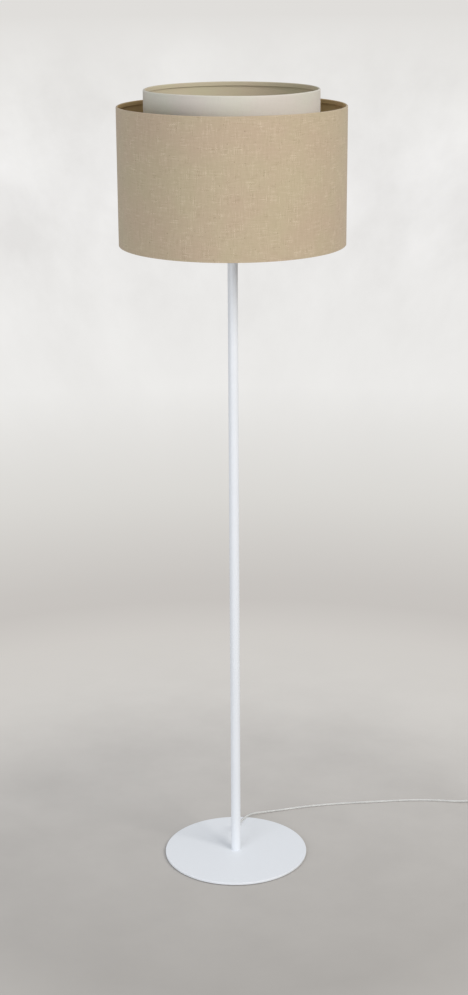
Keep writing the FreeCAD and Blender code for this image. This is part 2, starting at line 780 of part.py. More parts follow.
switch_cover = body("switch_cover")
hood = cornered(switch_cover, "hood_outline", "switch_length", "switch_width", "switch_corner",
               low="switch_base_height")
extrude(switch_cover, "hood", hood, "switch_height - switch_base_height")
chamfer(switch_cover, "hood_edge", level("switch_height"), "switch_edge")
hood_room = cornered(switch_cover, "hood_room_outline", *ROOM, low="switch_base_height")
extrude(switch_cover, "hood_room", hood_room, "roof - switch_base_height", "PartDesign::Pocket",
        backwards=True)
button_hole = polygon(switch_cover, "button_hole_outline", FLATS, "button_diameter / 2 + play",
                      low="switch_height")
extrude(switch_cover, "button_hole", button_hole, "switch_wall", "PartDesign::Pocket")
for k, across in enumerate(SCREW_SPOTS, start=1):
    post = polygon(switch_cover, f"post_{k}_outline", GRIP_FLATS, "switch_screw_diameter", across,
                   low="switch_floor")
    extrude(switch_cover, f"post_{k}", post, "roof - switch_floor")
    bore = polygon(switch_cover, f"post_bore_{k}_outline", GRIP_FLATS, "switch_screw_diameter / 2 + fit",
                   across, low="switch_floor")
    extrude(switch_cover, f"post_bore_{k}", bore, "switch_screw_length", "PartDesign::Pocket",
            backwards=True)
place(switch_cover, **AT_SWITCH)

keep(flat_sided("button_form", [
    ("0", "button_bottom"),
    ("button_diameter / 2 + button_flange", "button_bottom"),
    ("button_diameter / 2 + button_flange", "button_flange_top"),
    ("button_diameter / 2", "button_flange_top"),
    ("button_diameter / 2", "button_top - 0.5 * button_rise"),
    ("0.35 * button_diameter", "button_top"),
    ("0", "button_top"),
], **AT_SWITCH), "switch_button")

core = body("switch_core")
core_outline = outline(core, "core_outline", [
    (f"{a}core_length / 2", f"{b}core_width / 2")
    for a, b in (("-", "-"), ("", "-"), ("", ""), ("-", ""))
], plane="XY_Plane")
bind(core_outline, AttachmentOffset__Base__z="switch_floor")
extrude(core, "core_block", core_outline, "core_top - switch_floor")
place(core, **AT_SWITCH)

switch_screws = []
for k, across in enumerate(SCREW_SPOTS, start=1):
    at = dict(x=f"switch_reach + ({across})", y="switch_offset")
    head = prism(f"switch_screw_head_{k}", GRIP_FLATS, "switch_screw_head / 2", "switch_head_height",
                 z="switch_seat_depth - switch_head_height", **at)
    shank = prism(f"switch_screw_shank_{k}", GRIP_FLATS, "switch_screw_diameter / 2", "switch_screw_length",
                  z="switch_seat_depth", **at)
    switch_screws.append(fuse(f"switch_screw_{k}", head, shank))
group("switch_screws", switch_screws)

group("switch_reliefs", [
    taper(f"switch_relief_{k}", "switch_relief_root / 2", "tip_radius", "relief_length",
          x=f"switch_reach {way} switch_length / 2", y="switch_offset", z="switch_cord_height",
          turn=turn, about=(0, 1, 0))
    for k, (way, turn) in enumerate((("-", -90), ("+", 90)), start=1)
])

# ---------------------------------------------------------------- plug
def plug_side_edge(edge):
    """True for the long edges along the plug's flanks, above and below."""
    middle = edge.CenterOfMass
    flat = abs(abs(middle.z) - number("plug_thickness / 2")) < 1e-4
    return flat and 1 < middle.x < number("plug_depth") - 1


AT_PLUG = dict(x="plug_reach", y="plug_offset", z="plug_thickness / 2")
plug = document.addObject("PartDesign::Body", "plug_slab")
plug_outline = outline(plug, "plug_outline", [
    ("0", "-plug_neck / 2"),
    ("plug_taper", "-plug_width / 2"),
    ("plug_depth", "-plug_width / 2"),
    ("plug_depth", "plug_width / 2"),
    ("plug_taper", "plug_width / 2"),
    ("0", "plug_neck / 2"),
], plane="XY_Plane")
extrude(plug, "plug_block", plug_outline, "plug_thickness", both_ways=True)
chamfer(plug, "plug_edges", plug_side_edge, "plug_edge")
place(plug, turn=-90, **AT_PLUG)
plug_relief = taper("plug_relief", "plug_relief_root / 2", "tip_radius", "plug_relief_length",
                    turn=-90, about=(1, 0, 0), **AT_PLUG)
keep(fuse("plug", plug, plug_relief), "plug_body")

plug_pins = []
for k, way in enumerate(("-", "+"), start=1):
    at = dict(x=f"plug_reach {way} pin_spacing / 2", z="plug_thickness / 2", turn=90, about=(1, 0, 0))
    pin = cylinder(f"pin_{k}", "pin_diameter / 2", "pin_length - pin_tip",
                   y="plug_offset - plug_depth", **at)
    tip = taper(f"pin_tip_{k}", "pin_diameter / 2", "pin_diameter / 2 - pin_tip", "pin_tip",
                y="plug_offset - plug_depth - pin_length + pin_tip", **at)
    plug_pins.append(fuse(f"plug_pin_{k}", pin, tip))
group("plug_pins", plug_pins)

# ---------------------------------------------------------------- checks and files
document.recompute()
failed = [thing.Name for thing in document.Objects if {"Invalid", "Error"} & set(thing.State)]
failed += [part.Label for part in subparts if part.Shape.isNull() or not part.Shape.isValid()]
if failed:
    raise RuntimeError("these objects failed: " + ", ".join(failed))

os.makedirs("parts", exist_ok=True)
whole = FreeCAD.BoundBox()
for part in subparts:
    whole.add(part.Shape.BoundBox)
    part.Shape.exportStep(os.path.join("parts", part.Label + ".step"))
print(f"{len(subparts)} nodes, {sum(len(part.Shape.Solids) for part in subparts)} solids, "
      f"x {whole.XMin:.1f} to {whole.XMax:.1f}, y {whole.YMin:.1f} to {whole.YMax:.1f}, "
      f"z {whole.ZMin:.2f} to {whole.ZMax:.1f} mm")
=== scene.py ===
# %% [markdown]
# # A column floor lamp, dressed for its portrait
#
# The construction comes as a fixed frame: every piece is there at its real size, and the pieces that
# move ride on named bodies. This script gives each visible piece its finished surface. Everything is in
# metres, with the origin on the floor under the middle of the base and the rear of the lamp towards +Y.

# %% The frame
import json
import math

import bmesh
import bpy
import numpy as np
from mathutils import Matrix, Vector


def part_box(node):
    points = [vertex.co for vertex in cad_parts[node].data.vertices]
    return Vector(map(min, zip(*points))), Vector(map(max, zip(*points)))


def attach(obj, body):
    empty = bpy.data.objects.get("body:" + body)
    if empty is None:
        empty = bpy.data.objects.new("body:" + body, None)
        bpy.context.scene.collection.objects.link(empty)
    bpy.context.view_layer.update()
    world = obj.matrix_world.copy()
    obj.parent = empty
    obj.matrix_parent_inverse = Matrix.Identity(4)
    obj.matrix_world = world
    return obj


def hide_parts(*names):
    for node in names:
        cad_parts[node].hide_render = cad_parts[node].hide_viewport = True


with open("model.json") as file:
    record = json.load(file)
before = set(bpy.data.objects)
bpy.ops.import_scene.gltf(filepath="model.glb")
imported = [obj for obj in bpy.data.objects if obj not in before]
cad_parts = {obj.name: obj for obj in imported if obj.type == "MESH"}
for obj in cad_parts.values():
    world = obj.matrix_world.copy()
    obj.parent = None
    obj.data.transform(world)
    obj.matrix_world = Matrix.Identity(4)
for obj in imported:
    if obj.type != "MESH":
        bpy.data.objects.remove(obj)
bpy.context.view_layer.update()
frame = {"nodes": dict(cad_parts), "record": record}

# %% [markdown]
# ## The camera
#
# The photograph looks down at the lamp by 17 degrees from a little above it, so both rims show as flat
# ellipses. A camera can be placed by hand, or worked out from known points. Here the ellipses of the
# base and of both rims, whose real sizes are known, fixed the height, the distance and the lens.

# %% The camera
MM = 0.001
CAMERA_PLACE = (0, -3.5851, 1.8901)
CAMERA_TILT = 17.030
CAMERA_ROLL = -0.327
SENSOR = 36
LENS = 67.33
VIEW_END = 200

camera_data = bpy.data.cameras.new("camera")
camera_data.sensor_fit = "VERTICAL"
camera_data.sensor_height = SENSOR
camera_data.lens = LENS
camera_data.clip_end = VIEW_END
camera = bpy.data.objects.new("camera", camera_data)
looking = (Matrix.Rotation(math.radians(90 - CAMERA_TILT), 3, "X")
           @ Matrix.Rotation(math.radians(CAMERA_ROLL), 3, "Z"))
camera.rotation_euler = looking.to_euler()
camera.location = CAMERA_PLACE
bpy.context.scene.collection.objects.link(camera)
bpy.context.scene.camera = camera
bpy.context.scene.view_settings.view_transform = "Standard"
print("camera", CAMERA_PLACE, "lens", LENS)

# %% [markdown]
# ## Surfaces from grids
#
# Nearly every piece of a lamp is turned, drawn or bent, so its skin is a grid of points: one direction
# runs round the piece and the other along its outline. A grid is two short arrays multiplied together,
# which keeps a shape as a formula. Where a grid closes on its axis the points of a ring fall together,
# so they are merged, and the faces are then turned outwards.

# %% A mesh from a grid of points
MERGE = 1e-6


def grid_piece(name, points, uv, wrap_along=False, faces_of=None):
    """A closed skin from points[i, j]: j runs round and closes, i runs along and closes only with
    wrap_along. uv[i, j] is in metres and has one more row and column than the faces need. faces_of
    gives a material index for each step along i."""
    along, around = points.shape[:2]
    rows = np.arange(along if wrap_along else along - 1)
    i, j = np.meshgrid(rows, np.arange(around), indexing="ij")
    next_i, next_j = (i + 1) % along, (j + 1) % around
    corners = np.stack([i * around + j, i * around + next_j,
                        next_i * around + next_j, next_i * around + j], -1)
    mesh = bpy.data.meshes.new(name)
    mesh.from_pydata(points.reshape(-1, 3).tolist(), [], corners.reshape(-1, 4).tolist())
    loops = np.stack([uv[i, j], uv[i, j + 1], uv[i + 1, j + 1], uv[i + 1, j]], 2)
    layer = mesh.uv_layers.new(name="metres")
    layer.data.foreach_set("uv", loops.astype(np.float32).ravel())
    if faces_of is not None:
        mesh.polygons.foreach_set("material_index", np.repeat(faces_of, around).astype(np.int32))
    mesh.polygons.foreach_set("use_smooth", np.ones(len(mesh.polygons), dtype=bool))
    work = bmesh.new()
    work.from_mesh(mesh)
    bmesh.ops.remove_doubles(work, verts=work.verts, dist=MERGE)
    bmesh.ops.recalc_face_normals(work, faces=work.faces)
    work.to_mesh(mesh)
    work.free()
    piece = bpy.data.objects.new(name, mesh)
    bpy.context.scene.collection.objects.link(piece)
    return piece


def distances(line):
    """The length of the way to each point of a line, starting from 0."""
    steps = np.linalg.norm(np.diff(line, axis=0), axis=1)
    return np.concatenate([[0.0], np.cumsum(steps)])


# %% [markdown]
# A real edge is never sharp: it catches a thin line of light. So an outline is given by its corners and
# the radius of each, and the corners become arcs. Just outside each arc lies one more point, which keeps
# the shading of the flat beside it flat.

# %% Rounded outlines
ARC_STEPS = 6
FLAT_KEEP = 0.25


def rounded(corners, steps=ARC_STEPS, closed=True):
    """An outline with round corners. corners holds rows of (x, y, radius); each corner becomes an arc
    tangent to its two sides, with a point a quarter radius before and after it. An open outline keeps
    its two ends as they are."""
    corners = np.asarray(corners, float)
    count = len(corners)
    out = []
    for k in range(count):
        at, radius = corners[k, :2], corners[k, 2]
        if radius <= 0 or (not closed and k in (0, count - 1)):
            out.append(at[None])
            continue
        back, on = corners[k - 1, :2] - at, corners[(k + 1) % count, :2] - at
        back, on = back / np.linalg.norm(back), on / np.linalg.norm(on)
        half = math.acos(np.clip(back @ on, -1, 1)) / 2
        reach = radius / math.tan(half)
        middle = at + (back + on) / np.linalg.norm(back + on) * radius / math.sin(half)
        first, last = at + back * reach - middle, at + on * reach - middle
        share = np.linspace(0, 1, steps + 1)[:, None]
        sweep = math.pi - 2 * half
        arc = (np.sin((1 - share) * sweep) * first + np.sin(share * sweep) * last) / math.sin(sweep)
        out += [(at + back * reach * (1 + FLAT_KEEP))[None], arc + middle,
                (at + on * reach * (1 + FLAT_KEEP))[None]]
    return np.concatenate(out)


# %% [markdown]
# ## Turned pieces
#
# The plate is cut and its edge turned, the tube is drawn, the lamp holder is moulded round. All of these
# are lathe shapes: an outline of radius and height, carried round the axis. A function of the angle and
# the outline can bend that shape a little, for ribs, a hexagon or the small faults of a hand-made shade.

# %% A lathe
AROUND = 96


def turned_points(outline, angles):
    """points[i, j] = (r_i cos a_j, r_i sin a_j, z_i), with the outline's radius r and height z."""
    radius, height = outline[:, :1], outline[:, 1:]
    return np.stack([radius * np.cos(angles), radius * np.sin(angles), height + 0 * angles], -1)


def even_angles(count):
    """Angles that go once round in equal steps."""
    return np.linspace(0, 2 * math.pi, count, endpoint=False)


def skin_uv(outline, angles, closed, radius=None):
    """uv[i, j] in metres: the way round at a fixed radius, and the way along the outline."""
    line = np.concatenate([outline, outline[:1]]) if closed else outline
    way = distances(line)
    reach = np.abs(outline[:, 0]).max() if radius is None else radius
    around = np.concatenate([angles, angles[:1] + 2 * math.pi]) * reach
    u, v = np.meshgrid(around, way)
    return np.stack([u, v], -1)


def placed(points, place):
    """Points moved by a 4 by 4 matrix."""
    place = np.array(place)
    return points @ place[:3, :3].T + place[:3, 3]


def turned(name, outline, closed=True, around=AROUND, place=None):
    """A turned piece from its outline, closed on itself or on the axis, moved by a 4 by 4 matrix."""
    angles = even_angles(around)
    points = turned_points(outline, angles)
    if place is not None:
        points = placed(points, place)
    return grid_piece(name, points, skin_uv(outline, angles, closed), closed)


# %% [markdown]
# ## Bent pieces
#
# A wire, a cord or a flat spoke has one section all along its path. The section is carried along and
# kept upright, so that it never twists, and its two ends are closed to a point.

# %% A section along a path
UP = np.array([0.0, 0.0, 1.0])


def upright(line, closed=False):
    """For each point of a line, the level direction across it, and the one square to both."""
    along = np.roll(line, -1, 0) - np.roll(line, 1, 0) if closed else np.gradient(line, axis=0)
    along /= np.linalg.norm(along, axis=1, keepdims=True)
    side = np.cross(along, UP)
    side /= np.linalg.norm(side, axis=1, keepdims=True)
    return side, np.cross(side, along)


def swept(name, path, section, closed=False):
    """points[i, j] = path_i + side_i * x_j + over_i * y_j, for a section with corners (x_j, y_j)."""
    side, over = upright(path, closed)
    points = path[:, None] + side[:, None] * section[:, :1] + over[:, None] * section[:, 1:]
    way = distances(np.concatenate([path, path[:1]]) if closed else path)
    if not closed:
        points = np.concatenate([path[:1, None] + 0 * points[:1], points, path[-1:, None] + 0 * points[-1:]])
        way = np.concatenate([way[:1], way, way[-1:]])
    round_way = distances(np.concatenate([section, section[:1]]))
    u, v = np.meshgrid(round_way, way)
    return grid_piece(name, points, np.stack([u, v], -1), closed)


def round_section(radius, sides=16):
    """The corners of a round section."""
    angles = even_angles(sides)
    return np.stack([np.cos(angles), np.sin(angles)], -1) * radius


# %% [markdown]
# ## The cord
#
# The lamp's lead leaves the foot of the column at the rear, drops onto the plate, crosses its edge and
# runs away to the right over the floor. A lead has a fixed length and a stiffness of its own, so its
# line is one smooth curve through a few given points. The rest of its length, which the photograph
# does not show, is wound into a small coil just outside the picture, between the foot switch and the
# plug. The sheath is clear, with two pale cores twisted together inside.

# %% The cord's line
CORD_DIAMETER = 0.005
RUN_ROUTE = np.array([
    (0, 33, 40), (0, 53, 40), (1.5, 77, 27), (5, 100, 12.5), (10, 121, 9), (21, 143, 9.7),
    (36, 163, 7.6), (58, 177, 3.5), (99, 189, 2.5), (146, 203.5, 2.5), (192, 213.5, 2.5), (246, 222, 2.5),
    (303, 227, 2.5), (358, 233, 2.5), (414, 236.5, 2.5), (460, 233.5, 2.5), (494, 226.5, 3),
    (522, 223, 6), (545, 223, 6),
]) * MM
COIL_TURNS = 3.25
COIL_STEPS = 16
COIL_MIDDLE = np.array([699, 184]) * MM
COIL_DIAMETER = 60 * MM
COIL_PITCH = 5.6 * MM
COIL_RISE = 5.5 * MM
CUTS_INSIDE = (6 + 2 * math.cos(2 * math.pi / COIL_STEPS)) / 8


def coil_points():
    """The coil's points, COIL_STEPS to a turn, clockwise. The radius shrinks steadily to the middle turn
    and grows again, and the line climbs one layer in the half turn where it reverses. The smooth line
    runs inside its points by a known share, which is made up here."""
    turn = np.linspace(0, COIL_TURNS, int(COIL_TURNS * COIL_STEPS) + 1)
    inner = (COIL_DIAMETER - COIL_PITCH * COIL_TURNS / 2) / 2
    radius = (inner + COIL_PITCH * np.abs(turn - COIL_TURNS / 2)) / CUTS_INSIDE
    angle = math.pi / 2 - 2 * math.pi * turn
    climb = np.clip((turn - COIL_TURNS / 2) * 2 + 0.5, 0, 1)
    height = CORD_DIAMETER / 2 + COIL_RISE * climb
    flat = COIL_MIDDLE[:, None] + radius * np.array([np.cos(angle), np.sin(angle)])
    return np.stack([*flat, height], -1)


LEAD_ROUTE = np.array([(651, 223, 6), (663, 223, 6), (677.5, 218, 2.5)]) * MM
TAIL_ROUTE = np.array([(730.8, 166, 8), (731, 147, 6.85), (731, 133, 6.85)]) * MM
coil_route = np.concatenate([LEAD_ROUTE, coil_points(), TAIL_ROUTE])


def smooth_line(name, route):
    """A smooth curve with the route's points as its control points, and the points read from it."""
    curve = bpy.data.curves.new(name, "CURVE")
    curve.dimensions = "3D"
    spline = curve.splines.new("NURBS")
    spline.points.add(len(route) - 1)
    spline.points.foreach_set("co", np.column_stack([route, np.ones(len(route))]).ravel())
    spline.order_u = 3
    spline.use_endpoint_u = True
    spline.resolution_u = 8
    holder = bpy.data.objects.new(name, curve)
    mesh = bpy.data.meshes.new_from_object(holder)
    points = np.empty(len(mesh.vertices) * 3)
    mesh.vertices.foreach_get("co", points)
    bpy.data.meshes.remove(mesh)
    bpy.data.objects.remove(holder)
    return points.reshape(-1, 3)


run_line = smooth_line("run_line", RUN_ROUTE)
coil_line = smooth_line("coil_line", coil_route)
print("cord to the switch", round(distances(run_line)[-1], 4), "m; switch to plug",
      round(distances(coil_line)[-1], 4), "m")
print("coil starts", (coil_route[3] / MM).round(1), "ends", (coil_route[-4] / MM).round(1))

# %% The sheath and the cores inside it
CORE_DIAMETER = 0.0021
CORE_LAY = 0.022
CORE_STEPS = 10
SHEATH_SIDES, CORE_SIDES = 14, 7


def cord_sheath(name, line):
    """The clear outer tube."""
    return swept(name, line, round_section(CORD_DIAMETER / 2, SHEATH_SIDES))


def cord_core(name, line, phase):
    """One of the two cores: a helix about the cord's line, core_i = line_i + radius * (side cos t_i +
    over sin t_i), where t grows by a full turn for each length of lay."""
    way = distances(line)
    fine = np.linspace(0, way[-1], int(way[-1] / CORE_LAY * CORE_STEPS) + 2)
    centre = np.stack([np.interp(fine, way, line[:, k]) for k in range(3)], -1)
    side, over = upright(centre)
    turn = (2 * math.pi * fine / CORE_LAY + phase)[:, None]
    path = centre + (side * np.cos(turn) + over * np.sin(turn)) * CORE_DIAMETER / 2
    return swept(name, path, round_section(CORE_DIAMETER / 2, CORE_SIDES))


cords = {}
for label, line in (("run", run_line), ("coil", coil_line)):
    cords[label] = [cord_sheath(f"cord_{label}_sheath", line)]
    cords[label] += [cord_core(f"cord_{label}_core_{k + 1}", line, k * math.pi) for k in range(2)]
print("cord pieces", [piece.name for group in cords.values() for piece in group])

# %% [markdown]
# ## Floor, light and air
#
# A studio floor that rolls up behind the object shows no horizon. A large pale disc does the same, when
# it is seen from this height. Near the lamp it is a real matt surface, so it takes the lamp's soft
# shadows, and its colour is painted light falloff there: darker towards the front, lighter towards the
# rear. Further out it turns into pale tones that are the same from every side, with painted light and
# shade of a studio sweep: a darker ring where the floor would bend up into the backdrop, and brighter
# tones beyond it. Its tone is also what metal and clear plastic mirror. From below it lets the view
# through, so the underside shows.

# %% Node helpers
def srgb(red, green, blue):
    """A colour given as it is seen, 0 to 255, in the linear values that a shader takes."""
    seen = np.array([red, green, blue]) / 255
    linear = np.where(seen <= 0.04045, seen / 12.92, ((seen + 0.055) / 1.055) ** 2.4)
    return (*linear.tolist(), 1.0)


def node(tree, kind, inputs=None, **settings):
    """A node with its settings, whose sockets take values or other nodes' outputs."""
    made = tree.nodes.new("ShaderNode" + kind)
    for name, value in settings.items():
        setattr(made, name, value)
    for socket, value in (inputs or {}).items():
        if isinstance(value, bpy.types.NodeSocket):
            tree.links.new(value, made.inputs[socket])
        else:
            made.inputs[socket].default_value = value
    return made


def calc(tree, operation, *values):
    """One step of arithmetic."""
    return node(tree, "Math", dict(enumerate(values)), operation=operation).outputs[0]


def blend(tree, share, first, second, way="MIX"):
    """Two colours mixed."""
    made = node(tree, "Mix", {0: share, 6: first, 7: second}, data_type="RGBA", blend_type=way,
                clamp_factor=True)
    return made.outputs[2]


def spread(tree, value, low, high, start=0.0, end=1.0):
    """A value from one range mapped onto another, without leaving it."""
    return node(tree, "MapRange", {0: value, 1: low, 2: high, 3: start, 4: end}, clamp=True).outputs[0]


def noise(tree, place, scale, detail, rough=0.5):
    """Smooth noise about 0.5, whose finer layers are each rough times as strong as the last."""
    sockets = {"Vector": place, "Scale": scale, "Detail": detail, "Roughness": rough}
    return node(tree, "TexNoise", sockets).outputs[0]


def empty_material(name):
    """A material with only its output, and its tree."""
    made = bpy.data.materials.new(name)
    made.use_nodes = True
    made.node_tree.nodes.clear()
    return made, made.node_tree


# %% The floor
FLOOR_RADIUS = 60
# FRONT_TONE and REAR_TONE are painted light falloff across the near floor: darker at the front, lighter at
# the rear.
FRONT_TONE, REAR_TONE = srgb(178, 174, 169), srgb(224, 220, 215)
SMUDGE_TONE, PATCH_TONE = srgb(150, 146, 142), srgb(176, 172, 168)
# Painted light and shade of a studio sweep: the ring at 1.6 m is darker, as the shade where the floor would
# bend up into the backdrop, and the tones beyond grow brighter where the backdrop is lit, then fall off far
# away.
FAR_LIGHT_AND_SHADE_TONES = [(0.0, srgb(196, 192, 187)), (0.83, srgb(221, 218, 213)), (1.6, srgb(198, 194, 190)),
             (2.6, srgb(218, 216, 212)), (4.2, srgb(237, 236, 234)), (10.0, srgb(243, 242, 241)),
             (18.0, srgb(240, 239, 237)), (40.0, srgb(224, 222, 219))]
TONE_REACH = 40
MOTTLE_TURN, MOTTLE_DEPTH, MOTTLE_START = 16.0, 34.0, 3.6
SHADOW_ENDS = (0.55, 1.3)

floor_rings = np.concatenate([[0, 0.5], np.geomspace(1, FLOOR_RADIUS, 8)])
floor_outline = np.stack([floor_rings, 0 * floor_rings], -1)
floor_angles = even_angles(96)
floor = grid_piece("studio_floor", turned_points(floor_outline, floor_angles),
                   skin_uv(floor_outline, floor_angles, False))
work = bmesh.new()
work.from_mesh(floor.data)
bmesh.ops.reverse_faces(work, faces=[face for face in work.faces if face.normal.z < 0])
work.to_mesh(floor.data)
work.free()

floor_material, tree = empty_material("studio_floor")
place = node(tree, "TexCoord").outputs["Object"]
away = node(tree, "VectorMath", {0: place}, operation="LENGTH").outputs["Value"]
bearing = node(tree, "VectorMath", {0: place}, operation="NORMALIZE").outputs[0]
rearward = node(tree, "SeparateXYZ", {0: place}).outputs[1]
climb = calc(tree, "DIVIDE", MOTTLE_DEPTH, calc(tree, "ADD", away, MOTTLE_START))
lift = node(tree, "CombineXYZ", {2: climb})
patch_place = node(tree, "VectorMath", {0: bearing, 1: (MOTTLE_TURN,) * 3, 2: lift.outputs[0]},
                   operation="MULTIPLY_ADD").outputs[0]
mottle = noise(tree, patch_place, 1.0, 6.0, 0.62)
# The ramp of painted light and shade, by distance from the lamp.
light_ramp = node(tree, "ValToRGB", {0: calc(tree, "DIVIDE", away, TONE_REACH)})
for k, (at, tone) in enumerate(FAR_LIGHT_AND_SHADE_TONES):
    step = light_ramp.color_ramp.elements[k] if k < 2 else light_ramp.color_ramp.elements.new(at)
    step.position, step.color = at / TONE_REACH, tone
clearing = calc(tree, "MULTIPLY", spread(tree, away, 2.5, 8.0, 0.0, 0.24),
                spread(tree, away, 18.0, TONE_REACH, 1.0, 0.0))
cloudy = calc(tree, "MULTIPLY", spread(tree, mottle, 0.3, 0.7), clearing)
patches = blend(tree, cloudy, light_ramp.outputs[0], PATCH_TONE)
smudges = noise(tree, place, 5.0, 5.0, 0.6)
# Painted light falloff: the near floor is darker towards the front and lighter towards the rear.
falloff_tone = blend(tree, spread(tree, rearward, -0.6, 0.8), FRONT_TONE, REAR_TONE)
near_tone = blend(tree, spread(tree, smudges, 0.35, 0.65, 0.0, 0.12), falloff_tone, SMUDGE_TONE)
matt = node(tree, "BsdfDiffuse", {"Color": near_tone})
glow = node(tree, "Emission", {"Color": patches})
ray = node(tree, "LightPath")
seen = calc(tree, "MAXIMUM", ray.outputs["Is Camera Ray"],
            calc(tree, "MAXIMUM", ray.outputs["Is Glossy Ray"], ray.outputs["Is Transmission Ray"]))
far = calc(tree, "MULTIPLY", spread(tree, away, *SHADOW_ENDS), seen)
surface = node(tree, "MixShader", {0: far, 1: matt.outputs[0], 2: glow.outputs[0]})
under = node(tree, "NewGeometry").outputs["Backfacing"]
clear = node(tree, "BsdfTransparent").outputs[0]
one_sided = node(tree, "MixShader", {0: under, 1: surface.outputs[0], 2: clear})
node(tree, "OutputMaterial", {0: one_sided.outputs[0]})
floor.data.materials.append(floor_material)

# %% The world
AIR_COLOUR = srgb(226, 228, 231)
AIR_STRENGTH = 0.72
world = bpy.data.worlds.new("studio")
bpy.context.scene.world = world
world.use_nodes = True
tree = world.node_tree
tree.nodes.clear()
ray = node(tree, "LightPath")
seen = calc(tree, "MAXIMUM", ray.outputs["Is Camera Ray"], ray.outputs["Is Transmission Ray"])
strength = spread(tree, seen, 0, 1, AIR_STRENGTH, 1.0)
tone = blend(tree, seen, AIR_COLOUR, FAR_LIGHT_AND_SHADE_TONES[-1][1])
air = node(tree, "Background", {"Color": tone, "Strength": strength})
node(tree, "OutputWorld", {0: air.outputs[0]})

# %% [markdown]
# Two large soft boxes light the photograph: a strong one in front on the right and high up, and a
# weaker one in front on the left and low. That leaves the shades brightest a little right of the middle
# and gives the tube two soft edges.

# %% The lamps
LAMPS = {
    "key": dict(angle=46, distance=3.3, height=3.0, size=1.9, power=76, colour=srgb(255, 252, 248)),
    "fill": dict(angle=-29.5, distance=3.2, height=1.1, size=1.6, power=33, colour=srgb(242, 247, 255)),
}
AIM = Vector((0, 0, 0.95))
for label, lamp in LAMPS.items():
    light = bpy.data.lights.new(label, "AREA")
    light.shape = "SQUARE"
    light.size = lamp["size"]
    light.energy = lamp["power"]
    light.color = lamp["colour"][:3]
    stand = bpy.data.objects.new(label, light)
    turn = math.radians(lamp["angle"])
    stand.location = (math.sin(turn) * lamp["distance"], -math.cos(turn) * lamp["distance"], lamp["height"])
    stand.rotation_euler = (AIM - stand.location).to_track_quat("-Z", "Y").to_euler()
    bpy.context.scene.collection.objects.link(stand)
print("lamps", {label: lamp["power"] for label, lamp in LAMPS.items()})

# %% [markdown]
# ## Woven cloth
#
# Both drums are covered with plain weave: each warp thread goes over one weft thread and under the next.
# The sine of each thread count gives a row of humps, and the product of the two sines says which thread
# is on top. Jute is spun unevenly, so each of its threads also thickens and thins along its length, which
# is what makes the short pale and dark dashes on the outer shade. Noise that is stretched along the
# threads, and takes a new row for each of them, gives those slubs. The same group serves the coarse jute
# and the fine off-white cloth with other numbers.

# %% The weave group
def new_group(name, inputs, outputs):
    """A shader node group with named sockets, with its input node and its output node."""
    made = bpy.data.node_groups.new(name, "ShaderNodeTree")
    for label, kind, value in inputs:
        socket = made.interface.new_socket(name=label, in_out="INPUT", socket_type=kind)
        if value is not None:
            socket.default_value = value
    for label, kind in outputs:
        made.interface.new_socket(name=label, in_out="OUTPUT", socket_type=kind)
    return made, made.nodes.new("NodeGroupInput"), made.nodes.new("NodeGroupOutput")


def use(tree, group, **values):
    """A group placed in a tree. Underscores in the names of its sockets stand for spaces."""
    made = node(tree, "Group", node_tree=group)
    for name, value in values.items():
        socket = made.inputs[name.replace("_", " ")]
        if isinstance(value, bpy.types.NodeSocket):
            tree.links.new(value, socket)
        else:
            socket.default_value = value
    return made


def put_out(group, result, **sockets):
    """Joins sockets to the outputs of a group."""
    for label, socket in sockets.items():
        group.links.new(socket, result.inputs[label])


VALUE, VECTOR = "NodeSocketFloat", "NodeSocketVector"
OVER_UNDER = 0.55
THREAD_STEP = 7.31

weave, given, result = new_group(
    "woven_cloth",
    [("Place", VECTOR, None), ("Thread", VALUE, 0.001), ("Slub length", VALUE, 0.03),
     ("Unevenness", VALUE, 0.5)],
    [("Height", VALUE), ("Slubs", VALUE), ("Clouds", VALUE), ("Bunches", VALUE), ("Flecks", VALUE)])
place = given.outputs["Place"]
apart = node(weave, "SeparateXYZ", {0: place})
count_u = calc(weave, "DIVIDE", apart.outputs[0], given.outputs["Thread"])
count_v = calc(weave, "DIVIDE", apart.outputs[1], given.outputs["Thread"])
hump_u = calc(weave, "SINE", calc(weave, "MULTIPLY", count_u, math.pi))
hump_v = calc(weave, "SINE", calc(weave, "MULTIPLY", count_v, math.pi))
crossing = calc(weave, "MULTIPLY", calc(weave, "MULTIPLY", hump_u, hump_v), OVER_UNDER)
warp_up = calc(weave, "ADD", calc(weave, "ABSOLUTE", hump_u), crossing)
weft_up = calc(weave, "SUBTRACT", calc(weave, "ABSOLUTE", hump_v), crossing)


def thread_noise(across, along, seed):
    """Noise that runs along one thread and starts afresh on the next."""
    row = calc(weave, "MULTIPLY", calc(weave, "FLOOR", across), THREAD_STEP)
    way = calc(weave, "DIVIDE", along, given.outputs["Slub length"])
    where = node(weave, "CombineXYZ", {0: row, 1: way, 2: seed}).outputs[0]
    return noise(weave, where, 1.0, 2.0, 0.6)


